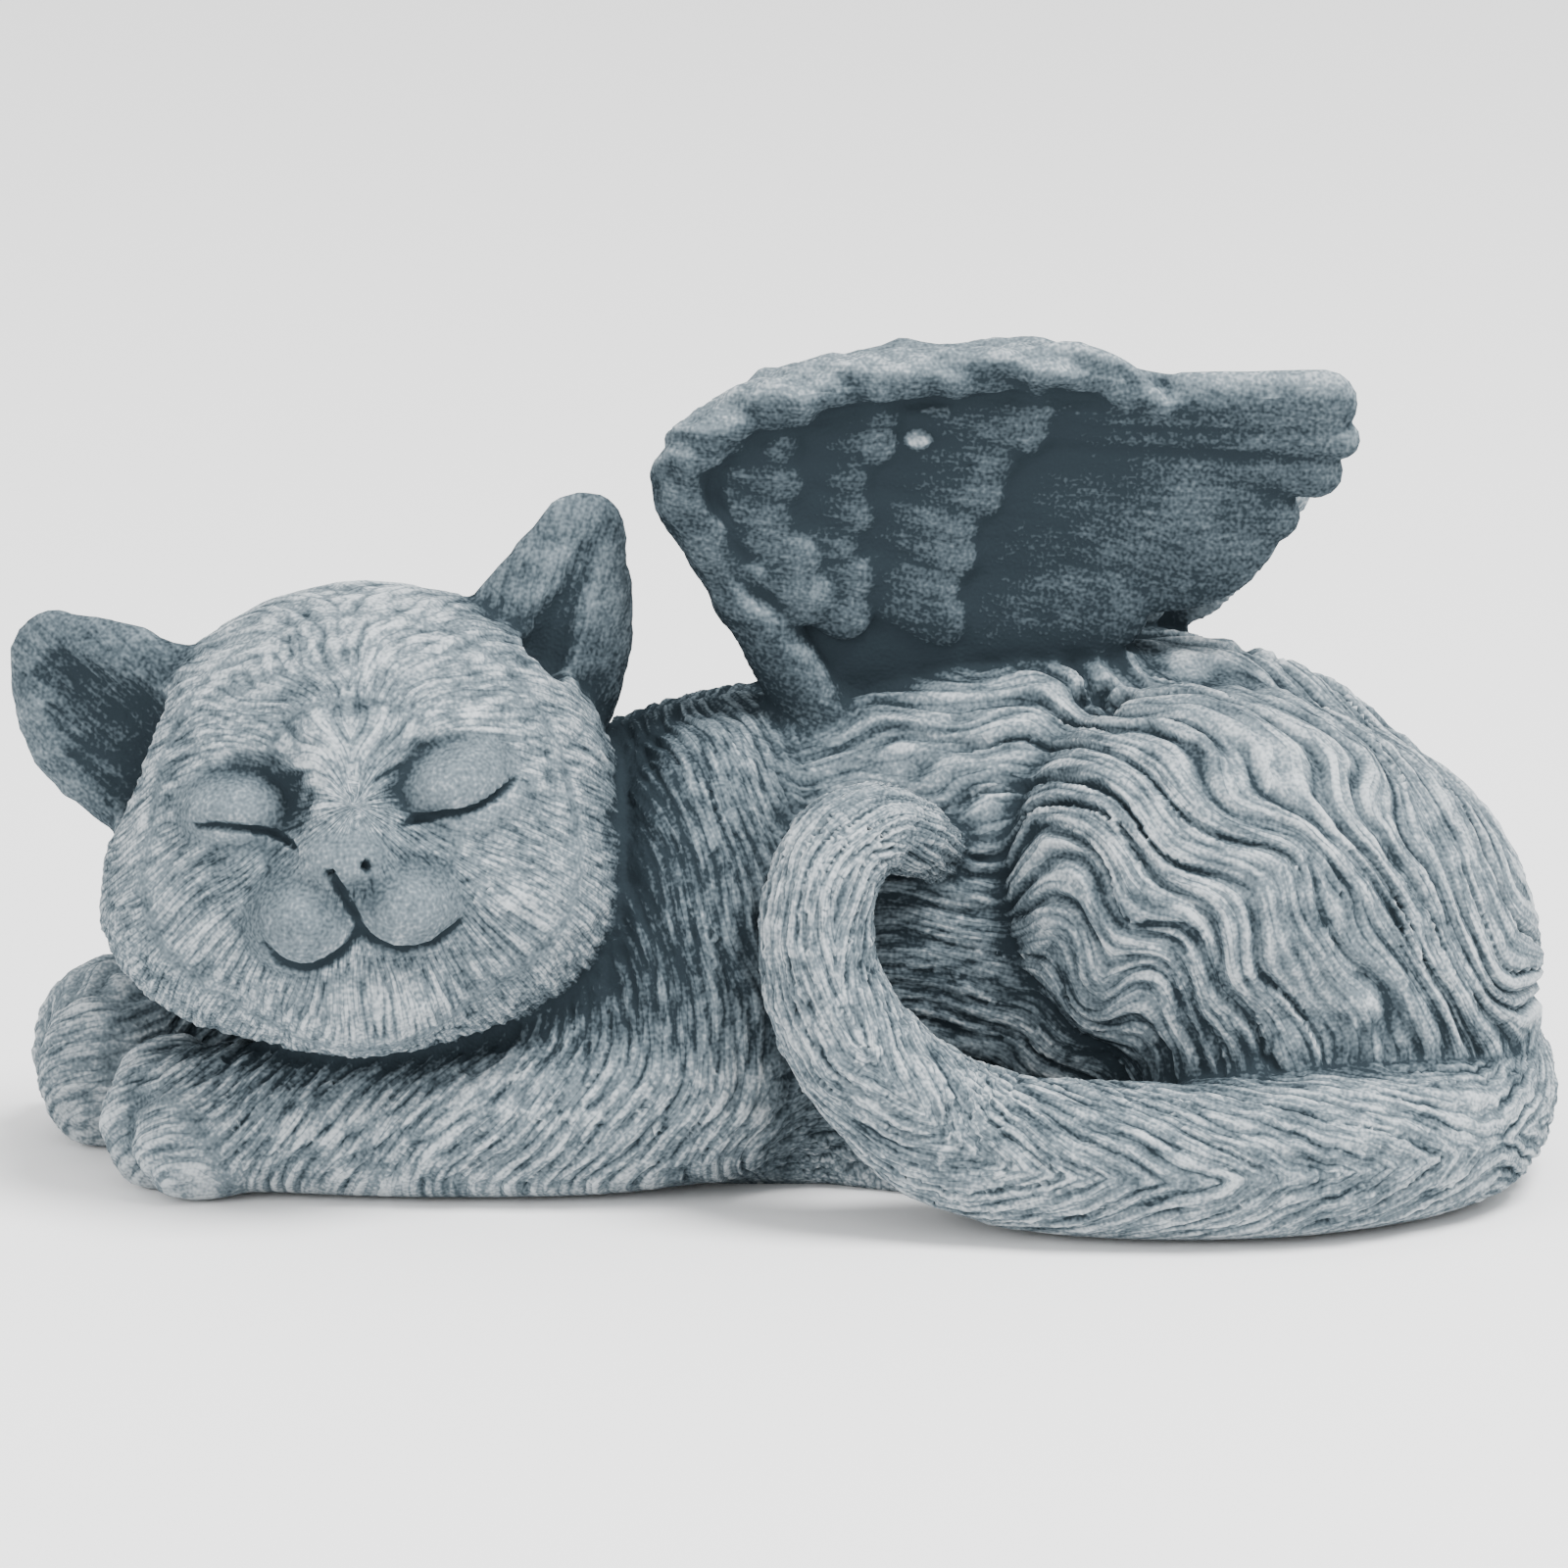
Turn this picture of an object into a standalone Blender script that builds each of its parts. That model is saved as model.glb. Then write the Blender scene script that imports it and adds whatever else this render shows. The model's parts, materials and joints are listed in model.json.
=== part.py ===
# Memorial statue of a sleeping kitten with folded wings, cast in one piece with a flat underside.
# Run it with: blender --background --python part.py
#
# The kitten lies with its head turned to the front (-Y) and its rump to the right (+X); +Z is up.
# Forms are written in units of one 250th of the statue's length, which is a millimetre at full size.
# Rough forms are joined, remeshed, settled onto their smooth blend, carved and then thinned out.

import math

import bpy
import numpy as np
from mathutils import Euler
from mathutils.kdtree import KDTree

STATUE_LENGTH = 0.250  # paw tip to tail, metres
UNIT = STATUE_LENGTH / 250.0

EAR_THICKNESS = 10.0 * UNIT
FEATHER_THICKNESS = 5.4 * UNIT
COVERT_THICKNESS = 3.8 * UNIT
WING_GAP = 8.5 * UNIT  # clear distance between the two wings where they leave the back
WING_LEAN = 8.0 * UNIT  # how far each wing's top edge leans out past its root
FAR_WING_DROP = 5.2 * UNIT  # the far wing was set a little lower and drawn in
FAR_WING_SCALE = 0.93
FAR_WING_SAG = 0.035  # further drop per unit towards its tips
LOCK_WIDTH = 2.3 * UNIT  # half width of the widest carved locks of fur
LOCK_DEPTH = 2.1 * UNIT
LOCK_LENGTH = 24.0 * UNIT
LOCK_SPACING = 4.6 * UNIT
BASE_FILLET = 0.9 * UNIT  # soft edge where the flanks meet the flat underside

ROUGH_VOXEL = 2.4 * UNIT
FINE_VOXEL = 1.25 * UNIT
FACE_COUNT = 9400  # triangles left after thinning
FINE_THINNING = 2.5e-5  # how much less readily the face and wings give up triangles
SEED = 11

STONE = {"colour": (0.235, 0.285, 0.315, 1.0), "roughness": 0.85, "metallic": 0.0}


# Forms: balls and limbs, each with a mesh to start from and a distance to settle onto

def ball(centre, radii, turn=(0, 0, 0)):
    axes = np.array(Euler([math.radians(a) for a in turn]).to_matrix())
    return {
        "kind": "ball",
        "centre": np.array(centre, float) * UNIT,
        "radii": np.array(radii, float) * UNIT,
        "axes": axes,
    }


def smooth_route(stations, steps=6):
    """Catmull-Rom curve through stations of (x, y, z, radius)."""
    points = np.array(stations, float)
    padded = np.vstack([2 * points[0] - points[1], points, 2 * points[-1] - points[-2]])
    route = []
    for i in range(1, len(padded) - 2):
        before, start, end, after = padded[i - 1 : i + 3]
        for t in np.arange(steps) / steps:
            route.append(
                0.5
                * (
                    2 * start
                    + (end - before) * t
                    + (2 * before - 5 * start + 4 * end - after) * t**2
                    + (3 * start - before - 3 * end + after) * t**3
                )
            )
    route.append(points[-1])
    return np.array(route)


def limb(stations, steps=6):
    route = smooth_route(stations, steps) * UNIT
    return {"kind": "limb", "points": route[:, :3], "radii": route[:, 3], "normal": None, "flatness": 1.0}


def flat_limb(stations, thickness, normal):
    """A tapered bar with round ends, flattened along normal: a feather or an ear."""
    stations = np.array(stations, float) * UNIT
    return {
        "kind": "limb",
        "points": stations[:, :3],
        "radii": stations[:, 3],
        "normal": np.array(normal, float) / np.linalg.norm(normal),
        "flatness": 2 * stations[:, 3].mean() / thickness,
    }


def ball_distance(points, form):
    local = (points - form["centre"]) @ form["axes"]
    scaled = np.linalg.norm(local / form["radii"], axis=1)
    slope = np.linalg.norm(local / form["radii"] ** 2, axis=1)
    return scaled * (scaled - 1) / np.maximum(slope, 1e-9)


def limb_distance(points, form):
    stations = form["points"]
    if form["normal"] is not None:
        stretch = form["flatness"] - 1
        normal = form["normal"]
        points = points + np.outer((points - stations[0]) @ normal * stretch, normal)
        stations = stations + np.outer((stations - stations[0]) @ normal * stretch, normal)
    nearest = np.full(len(points), 1e3)
    for i in range(len(stations) - 1):
        along = stations[i + 1] - stations[i]
        share = np.clip((points - stations[i]) @ along / (along @ along), 0, 1)
        radius = form["radii"][i] + share * (form["radii"][i + 1] - form["radii"][i])
        gap = np.linalg.norm(points - stations[i] - share[:, None] * along, axis=1) - radius
        nearest = np.minimum(nearest, gap)
    return nearest


def form_distance(points, form):
    return ball_distance(points, form) if form["kind"] == "ball" else limb_distance(points, form)


def form_box(form):
    if form["kind"] == "ball":
        reach = form["radii"].max()
        return form["centre"] - reach, form["centre"] + reach
    reach = form["radii"].max()
    return form["points"].min(0) - reach, form["points"].max(0) + reach


def soft_union(distances, blend):
    """Smallest of the distances, with a fillet of about the blend radius."""
    lowest = distances.min(0)
    spread = np.exp(-(distances - lowest) / blend).sum(0)
    return lowest - blend * np.log(spread)


# The wings: each is a gently leaning sheet that every feather follows

WING_ROOT_HEIGHT = 78.0 * UNIT
WING_RISE = 56.0 * UNIT  # from the back to the top edge


def sheet_depth(height, layer, side):
    """Y of the wing's sheet at a height, for feathers a layer out from it; side -1 is the near wing."""
    rise = np.clip((height - WING_ROOT_HEIGHT) / WING_RISE, 0, 1.2)
    return side * (WING_GAP / 2 + FEATHER_THICKNESS / 2 + WING_LEAN * rise**1.6 + layer)


def place_on_wing(x, z, layer, side):
    """A point of the wing's sheet; the far wing is the near one mirrored, drawn in and lowered."""
    y = sheet_depth(z, layer, side)
    if side > 0:
        middle = 30 * UNIT
        z -= FAR_WING_DROP + FAR_WING_SAG * max(0, x - middle)
        x = middle + (x - middle) * FAR_WING_SCALE
    return np.array([x, y, z])


def sheet_normal(height, side):
    step = 0.5 * UNIT
    lean = (sheet_depth(height + step, 0, side) - sheet_depth(height - step, 0, side)) / (2 * step)
    return np.array([0, 1, -lean])


def feather(tip, angle, length, width, thickness, layer, side):
    """A feather that ends at tip (x, z) and points along angle, in degrees up from +X."""
    tip = np.array(tip, float) * UNIT
    heading = np.array([math.cos(math.radians(angle)), math.sin(math.radians(angle))])
    end = tip - heading * width / 2 * UNIT
    start = tip - heading * (length - width / 2) * UNIT
    start_place, end_place = [place_on_wing(*place, layer * UNIT, side) / UNIT for place in (start, end)]
    normal = sheet_normal((start[1] + end[1]) / 2, side)
    return flat_limb([(*start_place, 0.42 * width), (*end_place, 0.5 * width)], thickness, normal)


def web(start, end, radius, side):
    """A broad plain bar along the wing's sheet that closes the gaps between feathers."""
    ends = [place_on_wing(x * UNIT, z * UNIT, 0.0, side) / UNIT for x, z in (start, end)]
    normal = sheet_normal((start[1] + end[1]) / 2 * UNIT, side)
    return flat_limb([(*end, radius) for end in ends], 0.75 * FEATHER_THICKNESS, normal)


def wing(side):
    """Primaries, three rows of coverts and the thick leading edge of one wing."""
    forms = []
    primaries = (
        # tip x, tip z, angle, length, width
        (90.8, 127.0, 0, 66, 11.4),
        (91.4, 120.8, -2, 62, 6.4),
        (88.8, 115.0, -4, 60, 8.6),
        (82.2, 107.4, -7, 56, 8.6),
        (74.4, 101.6, -9, 50, 9.0),
        (64.0, 97.0, -10, 44, 8.8),
        (57.5, 90.4, -12, 40, 10.0),
    )
    for i, (x, z, angle, length, width) in enumerate(primaries):
        forms.append(feather((x, z), angle, length, width, FEATHER_THICKNESS, -0.5 * i, side))
    rows = (
        # count, first tip, last tip, first angle, last angle, length, width, layer
        (8, (46.0, 128.0), (28.5, 89.5), -6, -24, 27, 9.6, 1.6),
        (7, (20.0, 126.0), (14.5, 90.5), -10, -28, 23, 9.4, 3.0),
        (5, (4.0, 120.0), (8.5, 93.0), -18, -34, 17, 9.4, 4.4),
    )
    for count, first, last, first_angle, last_angle, length, width, layer in rows:
        for i in range(count):
            share = i / (count - 1)
            bow = -3.6 * math.sin(math.pi * share) + (0.9 if i % 2 else -0.9)
            x = first[0] + (last[0] - first[0]) * share + bow
            z = first[1] + (last[1] - first[1]) * share
            angle = first_angle + (last_angle - first_angle) * share
            forms.append(feather((x, z), angle, length, width, COVERT_THICKNESS, layer, side))
    for start, end, radius in (((16, 106), (62, 110), 18.0), ((8, 90), (48, 95), 11.0)):
        # plain web behind the feathers, down to the back
        forms.append(web(start, end, radius, side))
    edge = (
        # x, z, radius, layer out from the sheet
        (12.0, 62.0, 8.0, 0.0),
        (5.4, 73.0, 7.0, 0.0),
        (0.2, 84.0, 6.2, 0.8),
        (-5.2, 94.0, 5.2, 1.8),
        (-11.2, 102.5, 5.0, 2.6),
        (-15.0, 111.0, 5.0, 3.4),
        (-15.8, 117.5, 5.0, 4.0),
        (-12.8, 122.0, 5.0, 4.4),
        (-7.0, 125.8, 4.9, 4.4),
        (1.0, 129.4, 4.7, 4.2),
        (10.0, 131.4, 4.5, 3.8),
        (22.0, 132.6, 4.4, 3.2),
        (34.0, 133.0, 4.3, 2.2),
        (46.0, 133.0, 4.3, 1.2),
        (51.5, 131.8, 4.0, 0.6),
        (58.0, 129.4, 3.4, 0.2),
    )
    stations = []
    for x, z, radius, layer in edge:
        place = place_on_wing(x * UNIT, z * UNIT, layer * UNIT, side) / UNIT
        stations.append((*place, radius))
    forms.append(limb(stations, 3))
    return forms


TAIL = (
    # x, y, z, radius along the middle of the tail, from the rump to the tip
    (108, 14, 16, 13.0),
    (111.5, -8, 14, 13.6),
    (105, -31, 13.5, 13.6),
    (82, -46.5, 13, 13.2),
    (52, -49, 12.6, 12.6),
    (28, -45.5, 15.5, 12.2),
    (14.0, -46, 26.5, 10.8),
    (7.0, -44.5, 37.5, 10.0),
    (5.0, -43.5, 47.5, 9.4),
    (6.0, -42.5, 55.5, 9.0),
    (9.4, -40, 61.4, 8.6),
    (15.0, -36, 63.2, 7.4),
    (20.5, -31, 60.6, 6.2),
    (23.5, -26, 57.5, 5.2),
)

NEAR_ARM = (
    (-14, -21, 18, 16.0),
    (-34, -22, 14.5, 15.0),
    (-60, -22, 13, 14.0),
    (-82, -21.5, 12.5, 12.6),
    (-93, -21, 12, 12.0),
)

FAR_ARM = (
    (-38, 19, 17, 15),
    (-80, 18, 17.5, 13.2),
    (-97, 17, 17.5, 13.4),
    (-106.4, 15, 15.0, 15.4),
)

# x, y, z, radius from the root of each ear to its tip; the hollow is a smaller flat form in front
LEFT_EAR = ((-100, -13.4, 72, 16.5), (-108, -11.2, 76.5, 15), (-115.5, -9.1, 83.8, 8.8))
LEFT_EAR_HOLLOW = ((-103.5, -21.4, 69.5, 11), (-108.5, -20, 75, 11.4), (-116, -15.2, 83, 5.6))
LEFT_EAR_FACES = (0.28, 1, 0)
RIGHT_EAR = ((-41, -9.3, 82, 16), (-37, -8.9, 90, 13.5), (-32.5, -9, 104.8, 7.4))
RIGHT_EAR_FACES = (-0.3, 1, 0.1)
RIGHT_EAR_HOLLOW = ((-37.4, -18.2, 83, 5.0), (-34.0, -17.2, 93, 3.6), (-29.6, -14.8, 103, 2.2))


GROUPS = {
    "body": {
        "blend": 2.6,
        "forms": [
            ball((59, 1, 18), (62.5, 34, 69)),  # back and rump
            ball((34, 0, 50), (42, 25, 35.5)),  # ridge of the back under the wings
            ball((0, 2, 34), (54, 31, 44)),  # shoulders
            ball((-26, 0, 32), (34, 30, 34)),  # chest
            ball((-12, -16, 42), (18, 20, 34)),  # near upper arm
            ball((-10, 18, 40), (20, 20, 32)),  # far upper arm
            limb(NEAR_ARM),
            limb(FAR_ARM),
        ],
    },
    "toes": {
        "blend": 0.8,
        "forms": [
            ball((-93.0, -27.0, 9.6), (11.0, 6.4, 10.0), (0, 0, 12)),
            ball((-99.0, -20.0, 10.8), (10.8, 5.4, 12.0), (0, 0, 4)),
            ball((-98.5, -11.6, 11.6), (10.6, 5.4, 12.2), (0, 0, -6)),
            ball((-110.8, 6.0, 12.4), (11.0, 6.4, 13.4)),
            ball((-112.2, 15.4, 13.4), (11.2, 5.8, 14.4)),
            ball((-109.5, 24.0, 12.6), (11.0, 6.4, 13.4)),
        ],
    },
    "haunches": {
        "blend": 1.4,
        "forms": [
            ball((68.5, -18, 50), (36, 31, 33)),
            ball((87, -13, 33), (35, 30, 41)),
            ball((76, -20, 26), (27, 25, 26)),
            ball((66, 17, 46), (35, 31, 32)),
            ball((84, 16, 32), (33, 29, 38)),
            ball((44, -40, 9.5), (7.5, 6, 6.5)),  # near hind paw, tucked under the thigh
            ball((52, 34, 10), (22, 12, 10)),  # far hind paw
        ],
    },
    "tail": {"blend": 1.0, "forms": [limb(TAIL)]},
    "head": {
        "blend": 2.2,
        "forms": [
            ball((-66, -15, 62), (40, 33.5, 36)),  # skull
            ball((-87, -23, 49), (22, 22, 20), (0, -10, 0)),  # cheeks
            ball((-47.5, -24, 52), (22, 22, 21), (0, 12, 0)),
            ball((-68, -26, 41), (29, 22, 16)),  # throat
            ball((-68.5, -38.5, 51), (21, 13.5, 13), (0, -11, 0)),  # muzzle
            ball((-66.5, -41, 38.0), (13, 9.5, 9.5)),  # chin
            ball((-69.5, -41, 69), (7.5, 9, 15), (0, -8, 0)),  # bridge of the nose
        ],
    },
    "ears": {
        "blend": 1.6,
        "forms": [
            flat_limb(smooth_route(LEFT_EAR), EAR_THICKNESS, LEFT_EAR_FACES),
            flat_limb(smooth_route(RIGHT_EAR), EAR_THICKNESS, RIGHT_EAR_FACES),
        ],
    },
    "near_wing": {"blend": 0.45, "forms": wing(-1)},
    "far_wing": {"blend": 0.45, "forms": wing(1)},
}

SCOOPS = [
    # hollows cut into the blended forms, and how softly their rims turn
    (flat_limb(smooth_route(LEFT_EAR_HOLLOW), EAR_THICKNESS, LEFT_EAR_FACES), 0.7),
    (limb(RIGHT_EAR_HOLLOW), 0.5),
    (ball((-85.2, -48.2, 69.6), (11.0, 9.6, 8.4), (0, -6, -18)), 0.5),  # eye sockets
    (ball((-51.6, -49.0, 73.8), (11.0, 9.6, 8.6), (0, -20, 20)), 0.5),
]

SWELLS = [
    # forms added after the hollows
    (ball((-85.4, -37.6, 67.0), (9.4, 8.4, 6.2), (0, -4, -14)), 0.35),  # closed eyes
    (ball((-52.0, -38.6, 71.6), (9.6, 8.4, 6.4), (0, -18, 16)), 0.35),
    (ball((-84.6, -37.6, 62.2), (9.0, 6.4, 4.6), (0, 4, -14)), 0.6),  # lower lids
    (ball((-49.6, -38.6, 66.4), (9.6, 6.4, 4.6), (0, -22, 16)), 0.6),
    (ball((-75.6, -45.6, 51.2), (8.2, 10.2, 7.8), (0, -10, 0)), 0.5),  # pads of the muzzle
    (ball((-59.4, -46.0, 53.6), (8.4, 10.0, 7.4), (0, -14, 0)), 0.5),
    (ball((-68.2, -50.2, 61.6), (6.0, 4.4, 3.8), (0, -8, 0)), 0.8),  # nose
]


FAR_AWAY = 60.0 * UNIT
NEAR_MARGIN = 7.0 * UNIT


def near_distance(points, form):
    """Distance to a form, worked out only for the points near it."""
    low, high = form_box(form)
    near = ((points > low - NEAR_MARGIN) & (points < high + NEAR_MARGIN)).all(1)
    gaps = np.full(len(points), FAR_AWAY)
    if near.any():
        gaps[near] = form_distance(points[near], form)
    return gaps


def grouped_distances(points):
    """Distance to every group of forms, one row each."""
    rows = []
    for group in GROUPS.values():
        each = np.array([near_distance(points, form) for form in group["forms"]])
        rows.append(soft_union(each, group["blend"] * UNIT))
    return np.array(rows)


GROUP_BLEND = 0.9


def statue_distance(points):
    """Signed distance, roughly, to the finished form, with its flat underside."""
    whole = soft_union(grouped_distances(points), GROUP_BLEND * UNIT)
    for form, blend in SCOOPS:
        whole = -soft_union(np.array([-whole, near_distance(points, form)]), blend * UNIT)
    for form, blend in SWELLS:
        whole = soft_union(np.array([whole, near_distance(points, form)]), blend * UNIT)
    return -soft_union(np.array([-whole, points[:, 2]]), BASE_FILLET)


# Meshes

def unit_sphere(segments=20, rings=12):
    """Points and faces of a sphere of radius one."""
    points = [(0, 0, 1)]
    for ring in range(1, rings):
        polar = math.pi * ring / rings
        for segment in range(segments):
            turn = 2 * math.pi * segment / segments
            wide = math.sin(polar)
            points.append((wide * math.cos(turn), wide * math.sin(turn), math.cos(polar)))
    points.append((0, 0, -1))
    last = len(points) - 1
    faces = []
    for segment in range(segments):
        after = (segment + 1) % segments
        faces.append((0, 1 + segment, 1 + after))
        for ring in range(rings - 2):
            above, below = 1 + ring * segments, 1 + (ring + 1) * segments
            faces.append((above + segment, below + segment, below + after, above + after))
        faces.append((last, last - segments + after, last - segments + segment))
    return np.array(points), faces


def rough_mesh():
    """All forms as overlapping spheres and bars in one mesh."""
    sphere, sphere_faces = unit_sphere()
    points, faces = [], []

    def add(shape):
        base = len(sphere) * len(points)
        points.append(shape)
        faces.extend(tuple(base + corner for corner in face) for face in sphere_faces)

    solids = [form for group in GROUPS.values() for form in group["forms"]]
    solids += [form for form, _ in SWELLS]
    for form in solids:
        if form["kind"] == "ball":
            add(form["centre"] + (sphere * form["radii"]) @ form["axes"].T)
            continue
        for start, end, start_radius, end_radius in zip(
            form["points"], form["points"][1:], form["radii"], form["radii"][1:]
        ):
            ahead = (sphere @ (end - start) > 0)[:, None]
            offsets = sphere * np.where(ahead, end_radius, start_radius)
            if form["normal"] is not None:
                flattened = (offsets @ form["normal"])[:, None] * (1 - 1 / form["flatness"])
                offsets -= flattened * form["normal"]
            add(np.where(ahead, end, start) + offsets)
    mesh = bpy.data.meshes.new("rough_forms")
    mesh.from_pydata(np.concatenate(points).tolist(), [], faces)
    mesh.update()
    return mesh


FACE_MIDDLE = np.array([-69, -52, 62]) * UNIT
FACE_REACH = np.array([36, 22, 30]) * UNIT


def evaluated_mesh(obj):
    graph = bpy.context.evaluated_depsgraph_get()
    graph.update()
    return bpy.data.meshes.new_from_object(obj.evaluated_get(graph))


def swap_mesh(obj, mesh):
    old = obj.data
    obj.modifiers.clear()
    obj.data = mesh
    bpy.data.meshes.remove(old)


def remesh(obj, voxel):
    modifier = obj.modifiers.new("remesh", "REMESH")
    modifier.mode = "VOXEL"
    modifier.voxel_size = voxel
    swap_mesh(obj, evaluated_mesh(obj))


def thin_out(obj, faces):
    """Collapses edges, keeping the triangles of the face and the wings smaller than the rest."""
    places = read_points(obj.data)
    face = np.linalg.norm((places - FACE_MIDDLE) / FACE_REACH, axis=1) < 1
    wings = places[:, 2] > WING_ROOT_HEIGHT + 8 * UNIT
    group = obj.vertex_groups.new(name="thinning")
    group.add(np.flatnonzero(~face & ~wings).tolist(), 1.0, "REPLACE")
    group.add(np.flatnonzero(face | wings).tolist(), 0.5, "REPLACE")
    modifier = obj.modifiers.new("thin out", "DECIMATE")
    modifier.use_collapse_triangulate = True
    modifier.vertex_group = group.name
    modifier.vertex_group_factor = FINE_THINNING
    modifier.ratio = faces / (2 * len(obj.data.polygons))
    swap_mesh(obj, evaluated_mesh(obj))
    obj.vertex_groups.clear()


def read_points(mesh):
    flat = np.empty(len(mesh.vertices) * 3, np.float32)
    mesh.vertices.foreach_get("co", flat)
    return flat.reshape(-1, 3).astype(float)


def read_normals(mesh):
    flat = np.empty(len(mesh.vertices) * 3, np.float32)
    mesh.vertex_normals.foreach_get("vector", flat)
    return flat.reshape(-1, 3).astype(float)


def write_points(mesh, points):
    mesh.vertices.foreach_set("co", points.astype(np.float32).ravel())
    mesh.update()


def settle(obj, rounds):
    """Moves every vertex along the slope of the distance until it lies on the blended surface."""
    points = read_points(obj.data)
    probe = 0.15 * UNIT
    farthest_step = 1.6 * UNIT
    for _ in range(rounds):
        here = statue_distance(points)
        slope = np.stack(
            [(statue_distance(points + probe * axis) - here) / probe for axis in np.eye(3)], axis=1
        )
        step = here[:, None] * slope / np.maximum((slope**2).sum(1), 0.2)[:, None]
        size = np.linalg.norm(step, axis=1, keepdims=True)
        points -= step * np.minimum(1, farthest_step / np.maximum(size, 1e-9))
    write_points(obj.data, points)


# The lie of the fur, as a heading for each point of the surface

NOSE_BRIDGE = np.array([-69, -50, 66]) * UNIT
SWEEP_MIDDLE = np.array([20, -40]) * UNIT  # x and unrolled height that the haunch locks sweep round
HAUNCH_WAVE = 31 * UNIT


def nearest_groups(points):
    return np.array(list(GROUPS))[grouped_distances(points).argmin(0)]


def fur_headings(points, normals, groups):
    """Unit vectors along the surface, in the direction in which the hair lies."""
    headings = np.tile(np.array([1.0, 0.0, -0.55]), (len(points), 1))
    headings[:, 2] -= 0.9 * np.clip(np.abs(points[:, 1]) / (40 * UNIT), 0, 1)
    head = (groups == "head") | (groups == "ears")
    headings[head] = points[head] - NOSE_BRIDGE
    haunch = (groups == "haunches") | ((groups == "body") & (points[:, 0] > 38 * UNIT))
    unrolled = 40 * UNIT * np.arctan2(points[:, 2] - 30 * UNIT, np.abs(points[:, 1]))
    aside, above = points[:, 0] - SWEEP_MIDDLE[0], unrolled - SWEEP_MIDDLE[1]
    travelled = np.hypot(aside, above) * np.arctan2(aside, above)
    angle = -np.arctan2(aside, above) + 0.5 * np.cos(travelled / HAUNCH_WAVE * 2 * math.pi)
    headings[haunch] = np.stack([np.cos(angle), 0 * angle, np.sin(angle)], axis=1)[haunch]
    headings[groups == "tail"] = tail_heading(points[groups == "tail"])
    arm = (groups == "body") & (points[:, 2] < 30 * UNIT) & (points[:, 0] < 0)
    headings[arm] = (-0.75, 0, -0.65)
    headings -= (headings * normals).sum(1, keepdims=True) * normals
    return headings / np.maximum(np.linalg.norm(headings, axis=1, keepdims=True), 1e-9)


def tail_heading(points):
    """Along the tail towards its root, spreading from its front line like a chevron."""
    if not len(points):
        return points
    route = GROUPS["tail"]["forms"][0]["points"]
    gaps = np.linalg.norm(points[:, None] - route[None], axis=2)
    nearest = np.clip(gaps.argmin(1), 1, len(route) - 2)
    along = route[nearest - 1] - route[nearest + 1]
    along /= np.linalg.norm(along, axis=1, keepdims=True)
    height = (points - route[nearest])[:, 2] / (12 * UNIT)
    return along + np.outer(-0.45 * np.sign(height), (0, 0, 1))


def spread_seeds(points, allowed, spacing):
    """Point numbers picked at random from the allowed ones, none nearer to another than the spacing."""
    chance = np.random.default_rng(SEED)
    cells = {}
    seeds = []
    for i in chance.permutation(np.flatnonzero(allowed)):
        point = points[i]
        cell = tuple((point // spacing).astype(int))
        around = [
            seed
            for dx in (-1, 0, 1)
            for dy in (-1, 0, 1)
            for dz in (-1, 0, 1)
            for seed in cells.get((cell[0] + dx, cell[1] + dy, cell[2] + dz), ())
        ]
        if all(((points[seed] - point) ** 2).sum() > spacing**2 for seed in around):
            cells.setdefault(cell, []).append(i)
            seeds.append(i)
    return seeds


def carve_locks(points, normals, headings, seeds, length, width, depth):
    """Sinks a tapering groove along the lie of the fur from each seed; the deepest groove wins."""
    tree = KDTree(len(points))
    for i, point in enumerate(points):
        tree.insert(point, i)
    tree.balance()
    sink = np.zeros(len(points))
    steps = 8
    for seed in seeds:
        path = [points[seed]]
        for _ in range(steps):
            nearest = tree.find(path[-1])[1]
            ahead = path[-1] + headings[nearest] * length / steps
            off_surface = (ahead - points[nearest]) @ normals[nearest]
            path.append(ahead - normals[nearest] * off_surface)
        path = np.array(path)
        near = np.array([found[1] for found in tree.find_range(path[steps // 2], length / 2 + width)])
        gaps = np.full(len(near), FAR_AWAY)
        share = np.zeros(len(near))
        for k in range(steps):
            along = path[k + 1] - path[k]
            t = np.clip((points[near] - path[k]) @ along / (along @ along), 0, 1)
            gap = np.linalg.norm(points[near] - path[k] - t[:, None] * along, axis=1)
            closer = gap < gaps
            gaps[closer] = gap[closer]
            share[closer] = (k + t[closer]) / steps
        taper = np.sin(math.pi * np.clip(share, 0, 1)) ** 0.7
        profile = np.clip(1 - gaps / (width * (0.35 + 0.65 * taper)), 0, 1) ** 1.3
        sink[near] = np.maximum(sink[near], depth * taper * profile)
    return points - normals * sink[:, None]


# Build

def clear_scene():
    for obj in list(bpy.data.objects):
        bpy.data.objects.remove(obj)


def stone_material():
    material = bpy.data.materials.new("cast_stone")
    material.use_nodes = True
    shader = material.node_tree.nodes["Principled BSDF"]
    shader.inputs["Base Color"].default_value = STONE["colour"]
    shader.inputs["Roughness"].default_value = STONE["roughness"]
    shader.inputs["Metallic"].default_value = STONE["metallic"]
    return material


def carve_haunches(statue):
    """The long wavy locks on the flanks of the haunches and the rump, clear of the underside."""
    points = read_points(statue.data)
    normals = read_normals(statue.data)
    groups = nearest_groups(points)
    rear = (groups == "haunches") | ((groups == "body") & (points[:, 0] > 42 * UNIT))
    wanted = rear & (points[:, 2] > 22 * UNIT) & (normals[:, 2] > -0.3)
    seeds = spread_seeds(points, wanted, LOCK_SPACING)
    headings = fur_headings(points, normals, groups)
    write_points(
        statue.data,
        carve_locks(points, normals, headings, seeds, LOCK_LENGTH, LOCK_WIDTH, LOCK_DEPTH),
    )


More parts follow.
